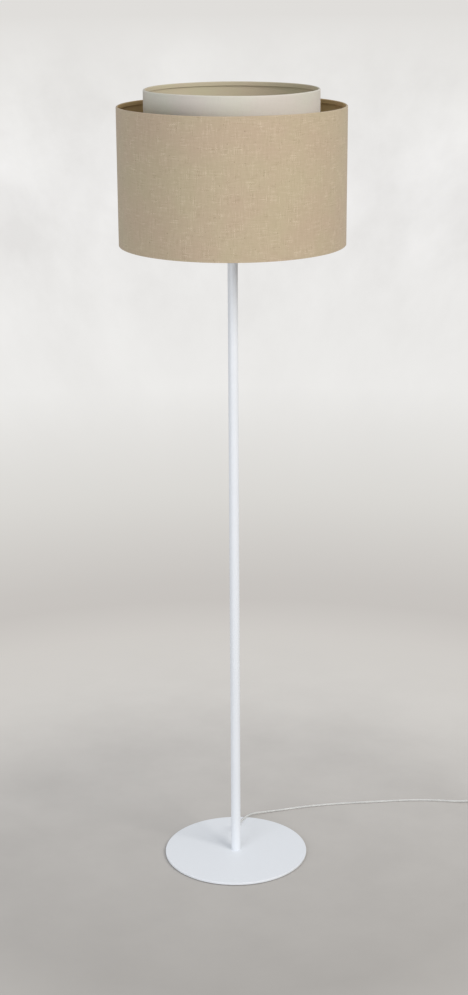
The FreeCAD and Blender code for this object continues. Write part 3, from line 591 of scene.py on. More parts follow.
warp_slub = thread_noise(count_u, apart.outputs[1], 0.0)
weft_slub = thread_noise(count_v, apart.outputs[0], 40.0)
warp_on_top = spread(weave, calc(weave, "SUBTRACT", warp_up, weft_up), -0.12, 0.12)
slub = calc(weave, "ADD", calc(weave, "MULTIPLY", warp_on_top, warp_slub),
            calc(weave, "MULTIPLY", calc(weave, "SUBTRACT", 1.0, warp_on_top), weft_slub))
swell = calc(weave, "MULTIPLY", calc(weave, "SUBTRACT", slub, 0.5), given.outputs["Unevenness"])
put_out(weave, result,
        Height=calc(weave, "ADD", calc(weave, "MAXIMUM", warp_up, weft_up), swell),
        Slubs=slub,
        Clouds=noise(weave, place, 11.0, 3.0, 0.55),
        Bunches=spread(weave, noise(weave, place, 48.0, 1.0), 0.42, 0.62, 0.25, 1.0),
        Flecks=spread(weave, noise(weave, place, 260.0, 1.0), 0.735, 0.78))
print("weave", len(weave.nodes), "nodes")

# %% [markdown]
# ## Painted and moulded skin
#
# Powder coat flows out before it cures and keeps a faint orange peel; moulded plastic keeps the fine
# spark texture of its mould. Both are the same thing at different sizes: a soft bumpy noise, and a slow
# drift in tone and gloss.

# %% The skin group
skin, given, result = new_group(
    "fine_skin",
    [("Place", VECTOR, None), ("Grain", VALUE, 900.0), ("Drift", VALUE, 6.0)],
    [("Height", VALUE), ("Tone", VALUE)])
put_out(skin, result,
        Height=noise(skin, given.outputs["Place"], given.outputs["Grain"], 2.0),
        Tone=noise(skin, given.outputs["Place"], given.outputs["Drift"], 3.0))
print("skin", len(skin.nodes), "nodes")

# %% [markdown]
# ## The finishes
#
# Each finish is a material of its own with a Principled shader. Numbers that hold all over a surface sit
# on the shader itself, and only what varies comes through nodes.

# %% A finish
finishes = {}
SKIN_BUMP, GLOSS_DRIFT = 0.35, 0.08


def finish(slot, colour, rough, bump=0.0, depth=0.001, height=None, tree_of=None, **shader):
    """Completes a material: a Principled shader with its colour and roughness, as values or sockets,
    and a bump of some strength and depth in metres from a height."""
    made, tree = tree_of or empty_material(slot)
    values = {"Base Color": colour, "Roughness": rough}
    if height is not None:
        raised = node(tree, "Bump", {"Strength": bump, "Distance": depth, "Height": height})
        values["Normal"] = raised.outputs[0]
    values.update({name.replace("_", " "): value for name, value in shader.items()})
    body = node(tree, "BsdfPrincipled", values)
    node(tree, "OutputMaterial", {0: body.outputs[0]})
    finishes[slot] = made


def skin_finish(slot, colour, rough, grain, depth, drift=6.0, tone=0.05, **shader):
    """A painted or moulded finish on Object coordinates."""
    made, tree = empty_material(slot)
    place = node(tree, "TexCoord").outputs["Object"]
    grained = use(tree, skin, Place=place, Grain=grain, Drift=drift)
    darker = tuple(c * (1 - tone) for c in colour[:3]) + (1.0,)
    tinted = blend(tree, grained.outputs["Tone"], colour, darker)
    worn = spread(tree, grained.outputs["Tone"], 0.3, 0.7, rough - GLOSS_DRIFT / 2, rough + GLOSS_DRIFT / 2)
    finish(slot, tinted, worn, SKIN_BUMP, depth, grained.outputs["Height"], (made, tree), **shader)


skin_finish("powder_coat", srgb(239, 242, 246), 0.42, 700.0, 0.00018, IOR=1.5)
skin_finish("pads", srgb(52, 51, 52), 0.85, 500.0, 0.0004, tone=0.2)
skin_finish("white_plastic", srgb(226, 226, 222), 0.38, 1500.0, 0.00005, tone=0.04)
skin_finish("holder_plastic", srgb(228, 226, 219), 0.3, 1400.0, 0.00004, tone=0.04)
skin_finish("contact_ceramic", srgb(214, 208, 196), 0.65, 1800.0, 0.00008, tone=0.08)
skin_finish("wire_coat", srgb(228, 228, 224), 0.4, 900.0, 0.00008)
skin_finish("opal_glass", srgb(240, 238, 232), 0.28, 300.0, 0.00003, tone=0.03, Coat_Weight=0.3, IOR=1.5)
skin_finish("plated_steel", srgb(176, 178, 182), 0.36, 600.0, 0.00005, tone=0.14, Metallic=1.0)
skin_finish("cap_metal", srgb(196, 196, 198), 0.3, 500.0, 0.00004, tone=0.12, Metallic=1.0)
skin_finish("brass", srgb(206, 172, 104), 0.3, 500.0, 0.00004, tone=0.18, Metallic=1.0)
skin_finish("nickel", srgb(205, 203, 198), 0.18, 800.0, 0.00002, tone=0.1, Metallic=1.0)
print("skin finishes", sorted(finishes))


# %% The cloths
FLECK = srgb(96, 74, 50)


def cloth_finish(slot, colours, thread, slub_length, uneven, bump, depth, contrast, flecks,
                 rough=0.9, **shader):
    """Woven cloth on the piece's own map in metres. colours are the yarn, its shadow between threads,
    its pale slubs, and the two tints that drift through the cloth."""
    yarn, gap, pale, warm, cool = colours
    made, tree = empty_material(slot)
    place = node(tree, "UVMap", uv_map="metres").outputs[0]
    cloth = use(tree, weave, Place=place, Thread=thread, Slub_length=slub_length, Unevenness=uneven)
    drift = spread(tree, cloth.outputs["Clouds"], 0.35, 0.65)
    base = blend(tree, 1.0, yarn, blend(tree, drift, warm, cool), "MULTIPLY")
    bunched = calc(tree, "MULTIPLY", cloth.outputs["Bunches"], contrast)
    thick = calc(tree, "MULTIPLY", spread(tree, cloth.outputs["Slubs"], 0.5, 0.72), bunched)
    slim = calc(tree, "MULTIPLY", spread(tree, cloth.outputs["Slubs"], 0.45, 0.2), bunched)
    thin = blend(tree, slim, blend(tree, thick, base, pale), gap)
    woven = blend(tree, spread(tree, cloth.outputs["Height"], 0.75, 0.25, 0.0, 0.45), thin, gap)
    flecked = blend(tree, calc(tree, "MULTIPLY", cloth.outputs["Flecks"], flecks), woven, FLECK)
    finish(slot, flecked, rough, bump, depth, cloth.outputs["Height"], (made, tree), **shader)


WARM, COOL = srgb(255, 250, 249), srgb(253, 255, 248)
cloth_finish("outer_cloth",
             (srgb(190, 173, 148), srgb(148, 128, 100), srgb(219, 203, 177), WARM, COOL),
             0.0021, 0.024, 0.9, 0.4, 0.0005, 0.6, 0.6, Sheen_Weight=0.15, Sheen_Roughness=0.5)
cloth_finish("inner_cloth",
             (srgb(216, 213, 204), srgb(180, 174, 160), srgb(226, 223, 215), WARM, COOL),
             0.00055, 0.02, 0.4, 0.35, 0.0002, 0.35, 0.0, Sheen_Weight=0.1, Sheen_Roughness=0.5)
cloth_finish("outer_lining",
             (srgb(192, 164, 118), srgb(156, 130, 90), srgb(204, 178, 134), WARM, COOL),
             0.0017, 0.024, 0.6, 0.3, 0.0003, 0.4, 0.2, rough=0.7)
cloth_finish("inner_lining",
             (srgb(200, 191, 168), srgb(168, 156, 130), srgb(208, 200, 180), WARM, COOL),
             0.00055, 0.02, 0.3, 0.2, 0.0002, 0.3, 0.0, rough=0.7)
print("finishes with the cloths", len(finishes))

# %% [markdown]
# The cord's sheath is clear soft plastic, so most light goes through it and the rest glints off it. Its
# cores are pale and twisted together; their tone drifts lighter and darker along the cord, which is
# painted highlight that comes and goes along it.

# %% The cord's finishes
finish("clear_cord", srgb(246, 246, 244), 0.14, IOR=1.5, Alpha=0.35, Specular_IOR_Level=1.0)
# The cores' strong tone drift along the cord is painted highlight that comes and goes.
skin_finish("core", srgb(250, 249, 245), 0.4, 1200.0, 0.00006, drift=34.0, tone=0.6)


# %% Dressing a piece
def dress(piece, body, slot, *nodes, finish_names=()):
    """Gives a piece its finish and its body, and hides the nodes that it stands for."""
    for label in finish_names or (slot,):
        piece.data.materials.append(finishes[label])
    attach(piece, body)
    if nodes:
        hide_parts(*nodes)
    return piece


dress(cords["run"][0], "root", "clear_cord", "cord_run")
dress(cords["coil"][0], "root", "clear_cord", "cord_lead", "cord_coil", "cord_tail")
for group in cords.values():
    for core in group[1:]:
        dress(core, "root", "clear_cord", finish_names=("core",))

# %% [markdown]
# ## The base plate and the column
#
# The plate is a flat steel disc with a slightly broken edge, coated in satin white. It stands on small
# pads that leave a thin dark line under it. The column is a plain drawn tube that sits on the plate with
# no collar.

# %% The base plate
def box_of(name):
    """A node's radius from the axis, lowest and highest level."""
    low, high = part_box(name)
    return high.x, low.z, high.z


plate_radius, plate_low, plate_top = box_of("base_plate")
PLATE_EDGE, HOLE_EDGE = 0.0011, 0.0002
SCREW_SINK, SCREW_HOLE = 0.0082, 0.0042
plate = turned("base_plate_disc", rounded([
    (SCREW_SINK, plate_low, HOLE_EDGE), (plate_radius, plate_low, PLATE_EDGE),
    (plate_radius, plate_top, PLATE_EDGE), (SCREW_HOLE, plate_top, HOLE_EDGE),
]), around=256)
dress(plate, "root", "powder_coat", "base_plate")

# %% The pads
PADS = 6
PAD_CIRCLE, PAD_RADIUS, PAD_EDGE = 0.128, 0.008, 0.0004
pad_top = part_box("base_pads")[1].z
pad_outline = rounded([(0, 0, 0), (PAD_RADIUS, 0, PAD_EDGE), (PAD_RADIUS, pad_top, PAD_EDGE),
                       (0, pad_top, 0)], closed=False)
pads = []
for k in range(PADS):
    turn = k * math.tau / PADS
    at = Matrix.Translation((PAD_CIRCLE * math.cos(turn), PAD_CIRCLE * math.sin(turn), 0))
    pads.append(turned(f"base_pad_{k + 1}", pad_outline, closed=False, around=40, place=at))
    dress(pads[k], "root", "pads")
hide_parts("base_pads")

# %% The column
column_radius, column_low, column_top = box_of("column_tube")
COLUMN_WALL = 0.0012
TUBE_EDGE = 0.0003
column = turned("column", rounded([
    (column_radius - COLUMN_WALL, column_low, TUBE_EDGE), (column_radius, column_low, TUBE_EDGE),
    (column_radius, column_top, TUBE_EDGE), (column_radius - COLUMN_WALL, column_top, TUBE_EDGE),
]), around=72)
dress(column, "root", "powder_coat", "column_tube")
print("plate", plate_radius, "column", column_radius, column_top)

# %% [markdown]
# ## Where the cord leaves the column
#
# A soft relief keeps the lead from kinking at the hole: a round flange that lies on the tube, and a
# tapered nose with slots cut across it, which let it bend. The slots are narrow dips in the outline.

# %% The relief
relief_low, relief_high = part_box("cord_relief")
exit_height = (relief_low.z + relief_high.z) / 2
RELIEF_RIBS, RELIEF_GROOVE = 6, 0.0009
RELIEF_START, TUBE_BACK, FLANGE_END = 0.0076, 0.0088, 0.013
STEM_RADIUS, FLANGE_RADIUS, NOSE_ROOT, NOSE_TIP = 0.0044, 0.0065, 0.005, 0.0034


def ribbed_nose(start, end, root, tip, ribs, deep, steps=8):
    """An outline along a tapered nose: its radius falls in a line from root to tip, less a groove
    deep at the end of each rib, shaped as a steep cosine."""
    share = np.linspace(0, 1, ribs * steps + 1)
    groove = (0.5 + 0.5 * np.cos(2 * math.pi * share * ribs)) ** 4
    inside = np.minimum(share * ribs, (1 - share) * ribs * 2).clip(0, 1)
    return np.stack([root + (tip - root) * share - deep * groove * inside, start + (end - start) * share], -1)


REARWARD = Matrix.Translation((0, 0, exit_height)) @ Matrix.Rotation(-math.pi / 2, 4, "X")
nose = ribbed_nose(FLANGE_END, relief_high.y, NOSE_ROOT, NOSE_TIP, RELIEF_RIBS, RELIEF_GROOVE)
flange = rounded([
    (0, RELIEF_START, 0), (STEM_RADIUS, RELIEF_START, 0.0002), (STEM_RADIUS, TUBE_BACK, 0),
    (FLANGE_RADIUS, TUBE_BACK, 0.0003), (FLANGE_RADIUS, FLANGE_END - 0.0006, 0.0006),
    (NOSE_ROOT + 0.0002, FLANGE_END - 0.0002, 0),
], closed=False)
relief = turned("cord_outlet_relief", np.concatenate([flange, nose, [[0, relief_high.y]]]), closed=False,
                around=48, place=REARWARD)
dress(relief, "root", "white_plastic", "cord_relief")

# %% [markdown]
# ## The lamp holder
#
# Under the shades sits a moulded holder: a cap on a threaded pipe, a shell with a collar that carries
# the shades' frame, and a neck with a coarse round thread for the ring that clamps them. The thread is a
# helix: the neck's radius goes up and down with the height, shifted by the angle, so that one turn round
# climbs one pitch.

# %% The cap and the shell
cap_radius, cap_low, cap_high = box_of("holder_cap")
CAP_HOLE, CAP_NECK = 0.0051, 0.010
CAP_BEND = cap_low + 0.015
CAP_WALL, CAP_FLOOR = 0.002, 0.003
CAP_EDGE, CAP_RIM = 0.0003, 0.0004

cap_outline = rounded([
    (CAP_HOLE, cap_low, CAP_EDGE), (CAP_NECK, cap_low, 0.001), (cap_radius, CAP_BEND, 0.006),
    (cap_radius, cap_high, CAP_RIM), (cap_radius - CAP_WALL, cap_high, CAP_RIM),
    (cap_radius - CAP_WALL, CAP_BEND + 0.001, 0.004), (CAP_NECK, cap_low + CAP_FLOOR, 0.0005),
    (CAP_HOLE, cap_low + CAP_FLOOR, CAP_EDGE),
])
cap = turned("holder_cap_shell", cap_outline, around=120)
dress(cap, "root", "holder_plastic", "holder_cap")


def threaded(outline, angles, pitch, depth, low, high):
    """A turned skin with a helical thread between two heights: radius - depth / 2 * (1 - cos(2 pi *
    (z - low) / pitch - angle)), faded in over the first and last half turn of the thread."""
    points = turned_points(outline, angles)
    z = outline[:, 1:]
    fade = np.clip(np.minimum(z - low, high - z) / (pitch / 2), 0, 1)
    outward = (outline[:, :1] > 0.8 * outline[:, 0].max()) * fade
    wave = depth / 2 * (1 - np.cos(2 * math.pi * (z - low) / pitch - angles)) * outward
    scale = 1 - wave / np.maximum(outline[:, :1], MERGE)
    points[..., :2] *= scale[..., None]
    return points


def ladder(radius, low, high, rows):
    """Evenly spaced outline points up a straight side."""
    return np.stack([np.full(rows, radius), np.linspace(low, high, rows)], -1)


shell_radius, shell_low, shell_high = box_of("holder_shell")
SKIRT_RADIUS, NECK_RADIUS, NECK_BORE = 0.020, 0.01995, 0.01415
SKIRT_TOP, SHOULDER = shell_low + 0.009, shell_low + 0.012
SKIRT_EDGE, SHOULDER_EDGE, LIP_EDGE = 0.0003, 0.0006, 0.0005
NECK_PITCH, NECK_DEPTH, NECK_ROWS = 0.0032, 0.0009, 70
shell_outline = np.concatenate([
    rounded([(NECK_BORE, shell_low, 0), (SKIRT_RADIUS, shell_low, SKIRT_EDGE),
             (SKIRT_RADIUS, SKIRT_TOP, SKIRT_EDGE), (shell_radius, SKIRT_TOP, SHOULDER_EDGE),
             (shell_radius, SHOULDER, SHOULDER_EDGE), (NECK_RADIUS, SHOULDER, 0)], closed=False),
    ladder(NECK_RADIUS, SHOULDER + 0.0005, shell_high - 0.0008, NECK_ROWS),
    rounded([(NECK_RADIUS, shell_high - 0.0006, 0), (NECK_RADIUS, shell_high, LIP_EDGE),
             (NECK_BORE, shell_high, LIP_EDGE), (NECK_BORE, shell_low + 0.001, 0)], closed=False),
])
shell_angles = even_angles(120)
neck_skin = threaded(shell_outline, shell_angles, NECK_PITCH, NECK_DEPTH, SHOULDER + 0.001,
                     shell_high - 0.001)
shell = grid_piece("holder_neck", neck_skin, skin_uv(shell_outline, shell_angles, True), True)
dress(shell, "root", "holder_plastic", "holder_shell")

# %% The shade ring
ring_radius, ring_low, ring_high = box_of("shade_ring")
ring_bore = NECK_RADIUS + 0.0002
GRIPS, GRIP_DEPTH = 24, 0.0012


def gripped(outline, angles, count, depth):
    """A turned skin whose outer side carries count shallow grips: radius - depth * (0.5 + 0.5 *
    cos(count * angle)) ** 3."""
    points = turned_points(outline, angles)
    outer = outline[:, :1] > 0.9 * outline[:, 0].max()
    dip = depth * (0.5 + 0.5 * np.cos(count * angles)) ** 3 * outer
    points[..., :2] *= (1 - dip / outline[:, :1])[..., None]
    return points


grip_outline = rounded([(ring_bore, ring_low, 0.0003), (ring_radius, ring_low, 0.0006),
                        (ring_radius, ring_high, 0.0008), (ring_bore, ring_high, 0.0003)])
grip_angles = even_angles(240)
clamp_ring = grid_piece("shade_clamp_ring", gripped(grip_outline, grip_angles, GRIPS, GRIP_DEPTH),
                        skin_uv(grip_outline, grip_angles, True), True)
dress(clamp_ring, "root", "holder_plastic", "shade_ring")
print("holder from", round(cap_low, 4), "to", round(shell_high, 4))

# %% [markdown]
# ## The shades' frame
#
# A punched hub lies on the holder's collar under the clamp ring. Three flat spokes run from it to the
# inner drum, and a brace from the end of each goes on, stepping down, to the outer drum's lower ring. The
# rings are plain wire, and all of it is coated white.

# %% The frame
hub_radius, hub_low, hub_high = box_of("frame_hub")
HUB_BORE = 0.021
HUB_EDGE = 0.0005
hub = turned("frame_hub_plate", rounded([
    (HUB_BORE, hub_low, HUB_EDGE), (hub_radius, hub_low, HUB_EDGE),
    (hub_radius, hub_high, HUB_EDGE), (HUB_BORE, hub_high, HUB_EDGE),
]), around=96)
dress(hub, "shades", "wire_coat", "frame_hub")

WIRE, WIRE_RADIUS = 0.003, 0.0014
CLOTH = 0.0008
SPOKE_WIDTH, SPOKE_THICK, SPOKE_EDGE = 0.006, 0.002, 0.0007
SPOKE_ANGLES = (90, 210, 330)
inner_radius, inner_low, inner_high = box_of("inner_shade")
outer_radius, outer_low, outer_high = box_of("outer_shade")
spoke_section = rounded([(side * SPOKE_WIDTH / 2, up * SPOKE_THICK / 2, SPOKE_EDGE)
                         for side, up in ((1, -1), (1, 1), (-1, 1), (-1, -1))], 3)


def spoke_line(bends, angle):
    """A spoke's middle line: straight runs joined by small arcs, in the upright plane at an angle."""
    reach, height = rounded(bends, 5, closed=False).T
    turn = math.radians(angle)
    return np.stack([reach * math.cos(turn), reach * math.sin(turn), height], -1)


hub_level = (hub_low + hub_high) / 2
ring_level = outer_low + CLOTH + WIRE / 2
inner_end = inner_radius - CLOTH - WIRE
outer_end = outer_radius - CLOTH - WIRE
spoke_runs = {
    "arm": [(hub_radius - 0.0004, hub_level, 0), (inner_end, hub_level, 0)],
    "brace": [(inner_end - 0.034, hub_level - 0.0018, 0), (inner_end - 0.022, hub_level - 0.0022, 0.02),
              (outer_end, ring_level, 0)],
}
for k, angle in enumerate(SPOKE_ANGLES, start=1):
    for label, bends in spoke_runs.items():
        spoke = swept(f"spoke_{k}_{label}", spoke_line(bends, angle), spoke_section)
        dress(spoke, "shades", "wire_coat", "frame_spokes")
print("spokes", len(SPOKE_ANGLES), "to", round(outer_end, 4))

# %% The wires in the rims
WAVES = np.arange(2, 7)
DRUM_SEEDS = {"outer_shade": 3, "inner_shade": 8}
OUT_OF_ROUND, OUT_OF_LEVEL, DRAWN_IN = 0.0007, 0.0006, 0.0004


def wandering(angles, seed, size):
    """A slow random wave round the rim: sines with seeded phases, weaker as they get shorter."""
    rng = np.random.default_rng(seed)
    phases = rng.uniform(0, 2 * math.pi, len(WAVES))
    sizes = rng.uniform(0.4, 1.0, len(WAVES)) / WAVES
    return size * sum(s * np.sin(n * angles + p) for n, s, p in zip(WAVES, sizes, phases))


def drum_faults(angles, share, seed):
    """How far a drum's skin and wires stray outwards and upwards, at a share of its height."""
    outwards = wandering(angles, seed, OUT_OF_ROUND) * (0.4 + 0.6 * share) - DRAWN_IN
    return outwards, wandering(angles, seed + 1, OUT_OF_LEVEL) * share


ring_angles = even_angles(180)
for shade, radius, low, high in (("inner_shade", inner_radius, inner_low, inner_high),
                                 ("outer_shade", outer_radius, outer_low, outer_high)):
    for end, level, share in (("bottom", low + CLOTH + WIRE / 2, 0.0), ("top", high - CLOTH - WIRE / 2, 1.0)):
        outwards, upwards = drum_faults(ring_angles, share, DRUM_SEEDS[shade])
        reach = (radius - CLOTH - WIRE / 2 - 0.0001) * (1 + outwards / radius)
        line = np.stack([reach * np.cos(ring_angles), reach * np.sin(ring_angles), level + upwards], -1)
        label = f"{shade}_{end}_ring"
        ring = swept(label + "_wire", line, round_section(WIRE_RADIUS, 12), True)
        dress(ring, "shades", "wire_coat", label)

# %% [markdown]
# ## The drum shades
#
# A drum shade is one strip of cloth bonded to a stiff film and rolled round two wires. Its long ends
# overlap at the back, and its upper edge is turned in over the wire and glued down inside, so the rim is
# round and a narrow band runs below it. Such a strip is never perfectly true: the drum is a millimetre
# out of round and its rims wander a little. The outline is the cloth's section, and a function of the
# angle adds the lap and the wandering.

# %% A shade
HEM = 0.008
LAP_WIDTH, LAP_RISE, LAP_EDGE = 0.012, 0.0007, 0.0009
WALL_ROWS, WALL_KEEP = 24, 0.004
RIM_LINING, FOOT_CLOTH = 12, 8
OUTER_SKIN, OUTER_FADE = 0.0004, 0.0003


def shade_angles(radius):
    """Even angles, with more of them at the two edges of the lap at the back."""
    back, half = math.pi / 2, LAP_WIDTH / 2 / radius
    edge = np.linspace(-2, 2, 9) * LAP_EDGE / radius
    extra = np.concatenate([back - half + edge, back + half + edge])
    plain = even_angles(360)
    plain = plain[np.abs(plain - back) > half + 2.5 * LAP_EDGE / radius]
    return np.sort(np.concatenate([plain, extra, [back]]))


def shade_outline(radius, low, high):
    """The section of the cloth: up the outside, over the rim, down the turned-in hem and, behind it,
    down the inside. Also the part of it that each step belongs to: 0 outside, 1 inside. The lining
    starts RIM_LINING steps into the rim and ends FOOT_CLOTH steps before the outline does."""
    wall, hem = radius - CLOTH, radius - 2 * CLOTH - WIRE
    outside = ladder(radius, low + WALL_KEEP, high - WALL_KEEP, WALL_ROWS)
    rim = rounded([(radius, high - 0.003, 0), (radius, high, 0.0021), (hem, high, 0.0018),
                   (hem + 0.0004, high - HEM, 0.0003), (hem + 0.0012, high - HEM, 0.0003),
                   (hem + 0.0009, high - 0.0035, 0)], closed=False)
    pocket = np.array([(wall - 0.0003, high - 0.0035), (wall, high - 0.006)])
    inside = ladder(wall, high - 0.009, low + WALL_KEEP, WALL_ROWS)
    foot = rounded([(wall, low + 0.003, 0), (wall - 0.0001, low, 0.00035), (radius, low, 0.00045),
                    (radius, low + 0.003, 0)], closed=False)
    line = np.concatenate([outside, rim, pocket, inside, foot])
    parts = np.zeros(len(line), int)
    parts[len(outside) + RIM_LINING:len(line) - FOOT_CLOTH] = 1
    return line, parts


def drum(name, node_name, radius, low, high, slots):
    """A drum shade with its lap at the back and its small faults."""
    angles = shade_angles(radius)
    line, parts = shade_outline(radius, low, high)
    points = turned_points(line, angles)
    off = np.abs((angles - math.pi / 2) * radius)
    lap = LAP_RISE * np.clip((LAP_WIDTH / 2 + LAP_EDGE / 2 - off) / LAP_EDGE, 0, 1)
    outer_side = np.clip((line[:, :1] - (radius - OUTER_SKIN)) / OUTER_FADE, 0, 1)
    share = (line[:, 1:] - low) / (high - low)
    outwards, upwards = drum_faults(angles, share, DRUM_SEEDS[node_name])
    points[..., :2] *= (1 + (lap * outer_side + outwards) / line[:, :1])[..., None]
    points[..., 2] += upwards
    piece = grid_piece(name, points, skin_uv(line, angles, True, radius), True, faces_of=parts)
    dress(piece, "shades", slots[0], node_name, finish_names=slots)


drum("outer_drum", "outer_shade", outer_radius, outer_low, outer_high, ("outer_cloth", "outer_lining"))
drum("inner_drum", "inner_shade", inner_radius, inner_low, inner_high, ("inner_cloth", "inner_lining"))
print("drums", round(outer_radius, 4), round(inner_radius, 4))

# %% [markdown]
# ## The bulb
#
# An opal bulb is blown as one smooth drop: a narrow neck that swells into a ball. The outline's top is a
# quarter of an ellipse, and the neck joins it along a smooth S-shaped curve. Its metal cap carries the
# same kind of helix as the holder's neck.

# %% The bulb
glass_radius, glass_low, glass_high = box_of("bulb_globe")
thimble_radius, thimble_low, thimble_high = box_of("bulb_cap")
BULB_NECK, BELLY, BULB_STEPS = 0.0142, 0.62, 40


def bulb_outline():
    """From the neck up: r = neck + (ball - neck) * s(t) ** 0.8, with the smooth step s, then a quarter
    of an ellipse."""
    belly = glass_low + BELLY * (glass_high - glass_low)
    rise = np.linspace(0, 1, BULB_STEPS)
    swelling = (rise ** 2 * (3 - 2 * rise)) ** 0.8
    neck = np.stack([BULB_NECK + (glass_radius - BULB_NECK) * swelling,
                     glass_low + (belly - glass_low) * rise], -1)
    turn = np.linspace(0, math.pi / 2, BULB_STEPS)[1:]
    dome = np.stack([glass_radius * np.cos(turn), belly + (glass_high - belly) * np.sin(turn)], -1)
    return np.concatenate([[[0, glass_low]], neck, dome])


bulb = turned("bulb", bulb_outline(), closed=False, around=96)
dress(bulb, "bulb", "opal_glass", "bulb_globe")

BULB_PITCH, BULB_DEPTH, BULB_ROWS = 0.0036, 0.0014, 80
thread_low, thread_high = thimble_low + 0.0075, thimble_high - 0.002
thimble_outline = np.concatenate([
    rounded([(0, thimble_low, 0), (0.0045, thimble_low, 0.0008), (0.0062, thimble_low + 0.002, 0.001),
             (0.0105, thimble_low + 0.0045, 0.001), (thimble_radius, thimble_low + 0.0065, 0)], closed=False),
    ladder(thimble_radius, thread_low, thread_high, BULB_ROWS),
    [[thimble_radius + 0.0003, thimble_high - 0.0006], [BULB_NECK, thimble_high], [0, thimble_high]],
])
thimble_angles = even_angles(96)
thimble_skin = threaded(thimble_outline, thimble_angles, BULB_PITCH, BULB_DEPTH, thread_low, thread_high)
thimble = grid_piece("bulb_thread", thimble_skin, skin_uv(thimble_outline, thimble_angles, False))
dress(thimble, "bulb", "cap_metal", "bulb_cap")
print("bulb from", round(thimble_low, 4), "to", round(glass_high, 4))

# %% [markdown]
# ## The foot switch and the plug
#
# Both are moulded housings with a flat outline and rounded edges. Such a form is one outline that shrinks
# as it rises: the grid runs round a rounded rectangle, and each row is inset by its own amount. That is
# the same trick as the lathe, with a rectangle in place of a circle.

# %% Housings
def rounded_box_outline(length, width, corner, steps=10):
    """Points round a rectangle with round corners, centred on the origin, and the outward directions."""
    turns = np.linspace(0, math.pi / 2, steps)
    quads = [(1, 1, 0), (-1, 1, 1), (-1, -1, 2), (1, -1, 3)]
    points, outward = [], []
    for sx, sy, quarter in quads:
        angle = turns + quarter * math.pi / 2
        ray = np.stack([np.cos(angle), np.sin(angle)], -1)
        middle = np.array([sx * (length / 2 - corner), sy * (width / 2 - corner)])
        points.append(middle + ray * corner)
        outward.append(ray)
    return np.concatenate(points), np.concatenate(outward)


def housing(name, outline, outward, rows, place):
    """points[i, j] = outline_j + outward_j * inset_i at height z_i, closed to a point at both ends. rows
    holds pairs of outward step, negative for inwards, and height."""
    rows = np.asarray(rows, float)
    flat = outline[None] + outward[None] * rows[:, :1, None]
    points = np.concatenate([flat, np.broadcast_to(rows[:, 1, None, None], (*flat.shape[:2], 1))], -1)
    middle = points.mean(1, keepdims=True)
    points = np.concatenate([middle[:1] + 0 * points[:1], points, middle[-1:] + 0 * points[-1:]])
    points = placed(points, place)
    round_way = distances(np.concatenate([outline, outline[:1]]))
    u, v = np.meshgrid(round_way, distances(points[:, 0]))
    return grid_piece(name, points, np.stack([u, v], -1))


switch_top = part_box("switch_cover")[1].z
base_low, base_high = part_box("switch_base")
switch_length, switch_width = base_high.x - base_low.x, base_high.y - base_low.y
SWITCH_CORNER, TRAY_EDGE, HOOD_EDGE = 0.012, 0.0012, 0.003
SEAM, SEAM_EDGE = 0.0002, 0.0004
END_KEEP = 1.6
switch_middle = Vector(((base_low.x + base_high.x) / 2, (base_low.y + base_high.y) / 2, 0))
AT_SWITCH = Matrix.Translation(switch_middle)
switch_outline, switch_outward = rounded_box_outline(switch_length, switch_width, SWITCH_CORNER)


def edge_rows(low, high, low_round, high_round, steps=5):
    """Rows up a housing's side, with its lower and upper edges rounded, and one more row on each of
    its flat ends beside the edge."""
    turn = np.linspace(0, math.pi / 2, steps)
    foot = np.stack([-low_round * (1 - np.sin(turn)), low + low_round * (1 - np.cos(turn))], -1)
    head = np.stack([-high_round * (1 - np.cos(turn)), high - high_round * (1 - np.sin(turn))], -1)
    return np.concatenate([[[-low_round * END_KEEP, low]], foot, head, [[-high_round * END_KEEP, high]]])


tray_rows = edge_rows(base_low.z, base_high.z - SEAM, TRAY_EDGE, SEAM_EDGE)
switch_tray = housing("switch_tray", switch_outline, switch_outward, tray_rows, AT_SWITCH)
dress(switch_tray, "root", "white_plastic", "switch_base")
hood_rows = edge_rows(base_high.z + SEAM, switch_top, SEAM_EDGE, HOOD_EDGE, 8)
switch_hood = housing("switch_hood", switch_outline, switch_outward, hood_rows, AT_SWITCH)
dress(switch_hood, "root", "white_plastic", "switch_cover")
print("switch at", [round(value, 4) for value in switch_middle])

# %% The switch's button, its reliefs and the plug
button_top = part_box("switch_button")[1].z
BUTTON_RADIUS, BUTTON_DISH, BUTTON_SINK = 0.010, 0.005, 0.001
button_rows = rounded([(0, switch_top - BUTTON_SINK, 0), (BUTTON_RADIUS, switch_top - BUTTON_SINK, 0),
                       (BUTTON_RADIUS, button_top - 0.0002, 0.0012), (BUTTON_DISH, button_top, 0.004),
                       (0, button_top - 0.0004, 0)], closed=False)
button = turned("switch_push_button", button_rows, closed=False, around=72, place=AT_SWITCH)
dress(button, "switch_button", "white_plastic", "switch_button")


def nose_piece(name, place, start, end, root, tip, ribs, deep):
    """A ribbed nose in white plastic, closed on its axis at both ends."""
    nose = ribbed_nose(start, end, root, tip, ribs, deep)
    outline = np.concatenate([[[0, start]], nose, [[0, end]]])
    return dress(turned(name, outline, closed=False, around=40, place=place), "root", "white_plastic")


SWITCH_CORD_LEVEL = 0.006
SWITCH_NOSE, SWITCH_NOSE_SINK = 0.021, 0.001
nose_start = switch_length / 2 - SWITCH_NOSE_SINK
for way, name in ((-1, "near"), (1, "far")):
    at = (Matrix.Translation((switch_middle.x, switch_middle.y, SWITCH_CORD_LEVEL))
          @ Matrix.Rotation(way * math.pi / 2, 4, "Y"))
    nose_piece(f"switch_relief_{name}", at, nose_start, nose_start + SWITCH_NOSE,
                              0.0044, 0.0034, 6, 0.0007)
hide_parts("switch_reliefs")

